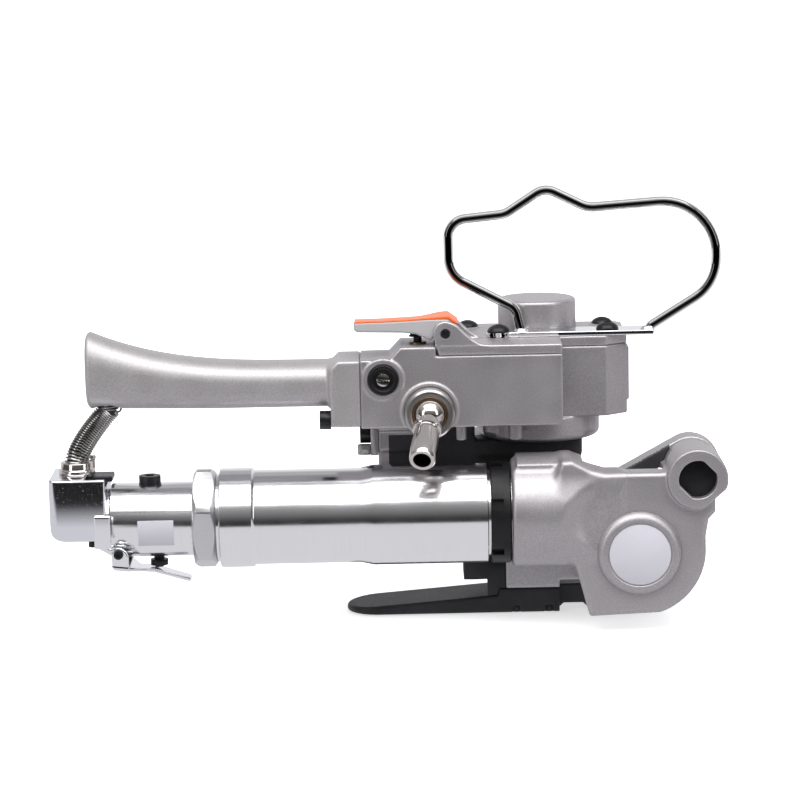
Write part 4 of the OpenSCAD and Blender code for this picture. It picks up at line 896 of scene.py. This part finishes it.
def bend_path(corners):
    """A polyline with rounded corners, given as x, z and bend radius, as closely spaced points."""
    n = 14                              # steps in one bend
    out = []
    for i, (a, b, r) in enumerate(corners):
        p = np.array([a, b], float)
        if i in (0, len(corners) - 1):
            out.append(p)
            continue
        u = np.array(corners[i - 1][:2]) - p
        v = np.array(corners[i + 1][:2]) - p
        u, v = u / np.linalg.norm(u), v / np.linalg.norm(v)
        half = math.acos(float(u @ v)) / 2
        t = r / math.tan(half)
        c = p + (u + v) / np.linalg.norm(u + v) * r / math.sin(half)
        a0 = math.atan2(*((p + u * t - c)[::-1]))
        a1 = math.atan2(*((p + v * t - c)[::-1]))
        d = (a1 - a0 + math.pi) % (2 * math.pi) - math.pi
        out += [c + r * np.array([math.cos(a0 + d * k / n), math.sin(a0 + d * k / n)]) for k in range(n + 1)]
    return out


wire = bend_path([
    (-52.8, 138.9, 0), (-55.5, 151, 7), (-87.3, 167.8, 13), (-87.4, 194.0, 9), (-60, 196.6, 12),
    (-40.8, 209.0, 9), (-20.6, 199.0, 14), (41.6, 203.0, 26), (40.8, 160.6, 22), (9.4, 141.4, 3),
    (8, 138.9, 0)])
bail = sweep("hanger_wire", [(p[0], HY, p[1]) for p in wire], 2.38, WIRE, "hanger_bail", 28)


def hanger_plate(P):
    tab = cyl(P, "z", SCREWS[1], 5.9, (137.55, 139.9), 0.5)
    strip = box(P, (-58, 10.5), (-24.8, -9.3), (137.55, 139.9), 0.5)
    strip = rmin(strip, box(P, (-64, -55), (-24.8, -15.7), (137.55, 139.9), 0.5), 0.5)
    d = np.minimum(tab, strip)
    for p in (SCREWS[1], SCREWS[3]):
        d = cut(d, cyl(P, "z", p, 2.8, (136, 142), 0))
    d = cut(d, cyl(P, "z", DOME, 20.6, (136, 142), 0), 0.3)
    for foot in (-52.8, 8.0):
        d = rmin(d, cyl(P, "z", (foot, HY), 3.3, (138, 141.4), 1.0), 1.3)
    return d


solid("hanger_plate", hanger_plate, (-69, -25, 137.5), (11, -9, 142), 0.4, CHROME, "hanger_bail",
      replaces=False)
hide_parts("hanger_bail")

# ---------------------------------------------------------------- hose with its coil guards

hose_lo, hose_hi = cad("air_hose")


def hose_line(dx, dy):
    """Centre line of a hose from the end block up to the grip, moved by dx, dy."""
    steps = 60
    pts = []
    for k in range(steps + 1):
        t = k / steps
        q = min(1, t / 0.86)
        s = q * q * (3 - 2 * q)
        pts.append((-267 + dx + 16 * q ** 1.42, MY + dy + 9 * s, hose_lo[2] + (hose_hi[2] - hose_lo[2]) * t))
    return np.array(pts)


def coil(name, centre, radius, wire_r, pitch):
    """A wire wound about the line centre, for the hose's guards."""
    seg = np.linalg.norm(np.diff(centre, axis=0), axis=1)
    s = np.concatenate([[0], np.cumsum(seg)])
    turns = s[-1] / pitch
    steps = int(turns * 20)
    q = np.linspace(0, s[-1], steps)
    c = np.stack([np.interp(q, s, centre[:, i]) for i in range(3)], 1)
    t = np.gradient(c, axis=0)
    t /= np.linalg.norm(t, axis=1)[:, None]
    u = np.cross(t, (0, 1, 0))
    u /= np.linalg.norm(u, axis=1)[:, None]
    w = np.cross(t, u)
    a = q / pitch * 2 * math.pi
    path = c + radius * (np.cos(a)[:, None] * u + np.sin(a)[:, None] * w)
    return sweep(name, path, wire_r, COIL, None, 7)


def bend_hose(ob):
    """Bakes the piece's transform into its mesh."""
    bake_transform(ob)
    return ob


hose_a = hose_line(-0.6, -1.4)
core = bend_hose(sweep("air_hose_core", hose_a, 3.9, RUBBER, None, 20))
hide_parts("air_hose")
bend_hose(coil("hose_guard_front", hose_a, 4.55, 0.52, 1.22))
hose_b = hose_line(1.6, 1.6)
bend_hose(coil("hose_guard_rear", hose_b, 3.7, 0.5, 1.2))

# ---------------------------------------------------------------- parts out of sight, in their CAD shapes

HIDDEN = [
    "weld_bearings", "plunger_spring", "weld_rotor", "weld_carriage", "weld_pad", "cutter_blade",
    "motor_liner", "ring_gear", "worm_shaft", "drive_bearings", "motor_rotor", "planet_gear_1",
    "planet_gear_2", "planet_gear_3", "feed_shaft", "feed_wheel",
]
for n in HIDDEN:
    dress(n, TOOL if SLOT[n] == "tool_steel" else GROUND, 0)
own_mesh(NODE["plunger_spring"])

# ---------------------------------------------------------------- camera, floor and light

target = Vector((-111.98, -30, 109.11)) * MM
DISTANCE, SENSOR = 1.5, 36              # from the camera to the object in metres; sensor width in mm
elev, roll = math.radians(9.5), math.radians(1.2)
fwd = Vector((0, math.cos(elev), -math.sin(elev)))
upv = Vector((0, math.sin(elev), math.cos(elev)))
rgt = Vector((1, 0, 0))
r_cam = math.cos(roll) * rgt - math.sin(roll) * upv
u_cam = math.sin(roll) * rgt + math.cos(roll) * upv
cam = D.objects.new("camera", D.cameras.new("camera"))
scene.collection.objects.link(cam)
rot = Matrix((r_cam, u_cam, -fwd)).transposed().to_4x4()
cam.matrix_world = Matrix.Translation(target - fwd * DISTANCE) @ rot
cam.data.sensor_width = SENSOR
cam.data.lens = SENSOR * 3125 / 800
cam.data.clip_start = 0.05
scene.camera = cam
scene.view_settings.view_transform = "Standard"
TABLE_EDGE = -0.37                      # where the table in the reflections ends, y in metres


def remap(nt, value, lo, hi, out_lo=0.0, out_hi=1.0):
    """The value, taken from lo..hi to out_lo..out_hi."""
    n = nt.nodes.new("ShaderNodeMapRange")
    for key, limit in (("From Min", lo), ("From Max", hi), ("To Min", out_lo), ("To Max", out_hi)):
        n.inputs[key].default_value = limit
    nt.links.new(value, n.inputs["Value"])
    return n.outputs["Result"]


floor_m, fnt, fb = principled("studio_floor", (0.9, 0.9, 0.9), 0.0, 0.8)
grain = noise(fnt, 30, 2)
paint = ramp(fnt, grain, [(0.3, (0.89, 0.89, 0.90)), (0.7, (0.91, 0.91, 0.92))])
fnt.links.new(paint, fb.inputs["Base Color"])
fb.inputs["Emission Color"].default_value = (1, 1, 1, 1)
# painted light: the floor glows, weaker near the object and stronger away from it, so it burns out to white
# away from the object
away = fnt.nodes.new("ShaderNodeVectorMath")
away.operation = "DISTANCE"
away.inputs[1].default_value = (-0.11, 0.02, 0)
place = fnt.nodes.new("ShaderNodeNewGeometry")
fnt.links.new(place.outputs["Position"], away.inputs[0])
fnt.links.new(remap(fnt, away.outputs["Value"], 0.16, 0.45, 0.6, 1.05), fb.inputs["Emission Strength"])
# painted light: reflections see the floor as a glowing table that ends in front of the object, with a dark
# room beyond it
geo = fnt.nodes.new("ShaderNodeNewGeometry")
sepf = fnt.nodes.new("ShaderNodeSeparateXYZ")
fnt.links.new(geo.outputs["Position"], sepf.inputs[0])
seen = fnt.nodes.new("ShaderNodeLightPath")
gone = fnt.nodes.new("ShaderNodeBsdfTransparent")
glow = fnt.nodes.new("ShaderNodeEmission")
glow.inputs["Color"].default_value = (0.97, 0.965, 1.0, 1)
glow.inputs["Strength"].default_value = 0.74
pick = fnt.nodes.new("ShaderNodeMixShader")
fnt.links.new(remap(fnt, sepf.outputs["Y"], TABLE_EDGE - 0.03, TABLE_EDGE + 0.03), pick.inputs["Fac"])
fnt.links.new(gone.outputs[0], pick.inputs[1])
fnt.links.new(glow.outputs[0], pick.inputs[2])
view = fnt.nodes.new("ShaderNodeMixShader")
fnt.links.new(seen.outputs["Is Camera Ray"], view.inputs["Fac"])
fnt.links.new(pick.outputs[0], view.inputs[1])
fnt.links.new(fb.outputs[0], view.inputs[2])
fnt.links.new(view.outputs[0], fnt.nodes["Material Output"].inputs["Surface"])
bpy.ops.mesh.primitive_plane_add(size=60, location=(0, 0, -0.0005))
floor = bpy.context.object
floor.name = "studio_floor"
floor.data.materials.append(floor_m)

world = D.worlds.new("studio")
scene.world = world
world.use_nodes = True
wn = world.node_tree
bg = wn.nodes["Background"]
tc = wn.nodes.new("ShaderNodeTexCoord")
sep = wn.nodes.new("ShaderNodeSeparateXYZ")
wn.links.new(tc.outputs["Generated"], sep.inputs[0])
half = wn.nodes.new("ShaderNodeMath")
half.operation = "MULTIPLY_ADD"
half.inputs[1].default_value = 0.5
half.inputs[2].default_value = 0.5
wn.links.new(sep.outputs["Z"], half.inputs[0])
sky = ramp(wn, half.outputs[0], [
    (0.0, 0.02), (0.47, 0.02), (0.52, 0.05), (0.62, 0.16), (0.72, 0.26), (0.85, 0.5)])
lp = wn.nodes.new("ShaderNodeLightPath")
mixw = wn.nodes.new("ShaderNodeMix")
mixw.data_type = "RGBA"
wn.links.new(lp.outputs["Is Camera Ray"], mixw.inputs["Factor"])
# reflections also see the white sweep that rises behind the object
sweep_fac = wn.nodes.new("ShaderNodeMath")
sweep_fac.operation = "MULTIPLY"
wn.links.new(remap(wn, sep.outputs["Y"], 0.25, 0.55), sweep_fac.inputs[0])
wn.links.new(remap(wn, sep.outputs["Z"], 0.35, 0.6, 1.0, 0.0), sweep_fac.inputs[1])
swept = wn.nodes.new("ShaderNodeMix")
swept.data_type = "RGBA"
wn.links.new(sweep_fac.outputs[0], swept.inputs["Factor"])
wn.links.new(sky, swept.inputs[6])
swept.inputs[7].default_value = (0.85, 0.85, 0.88, 1)
wn.links.new(swept.outputs[2], mixw.inputs[6])
mixw.inputs[7].default_value = (1, 1, 1, 1)
wn.links.new(mixw.outputs[2], bg.inputs["Color"])
bg.inputs["Strength"].default_value = 1.0


def soft(name, loc, look, size, watts):
    """A rectangular lamp at loc, turned to look."""
    li = D.lights.new(name, "AREA")
    li.shape = "RECTANGLE"
    li.size, li.size_y = size
    li.energy = watts
    o = D.objects.new(name, li)
    scene.collection.objects.link(o)
    o.location = loc
    o.rotation_euler = (Vector(look) - Vector(loc)).to_track_quat("-Z", "Y").to_euler()


aim = (-0.11, -0.02, 0.08)
soft("light_top", (-0.1, -0.5, 1.05), aim, (1.6, 1.0), 17)
soft("light_left", (-1.2, -0.9, 0.55), aim, (0.35, 0.9), 3)
soft("light_right", (1.0, -0.9, 0.6), aim, (0.35, 0.9), 3)
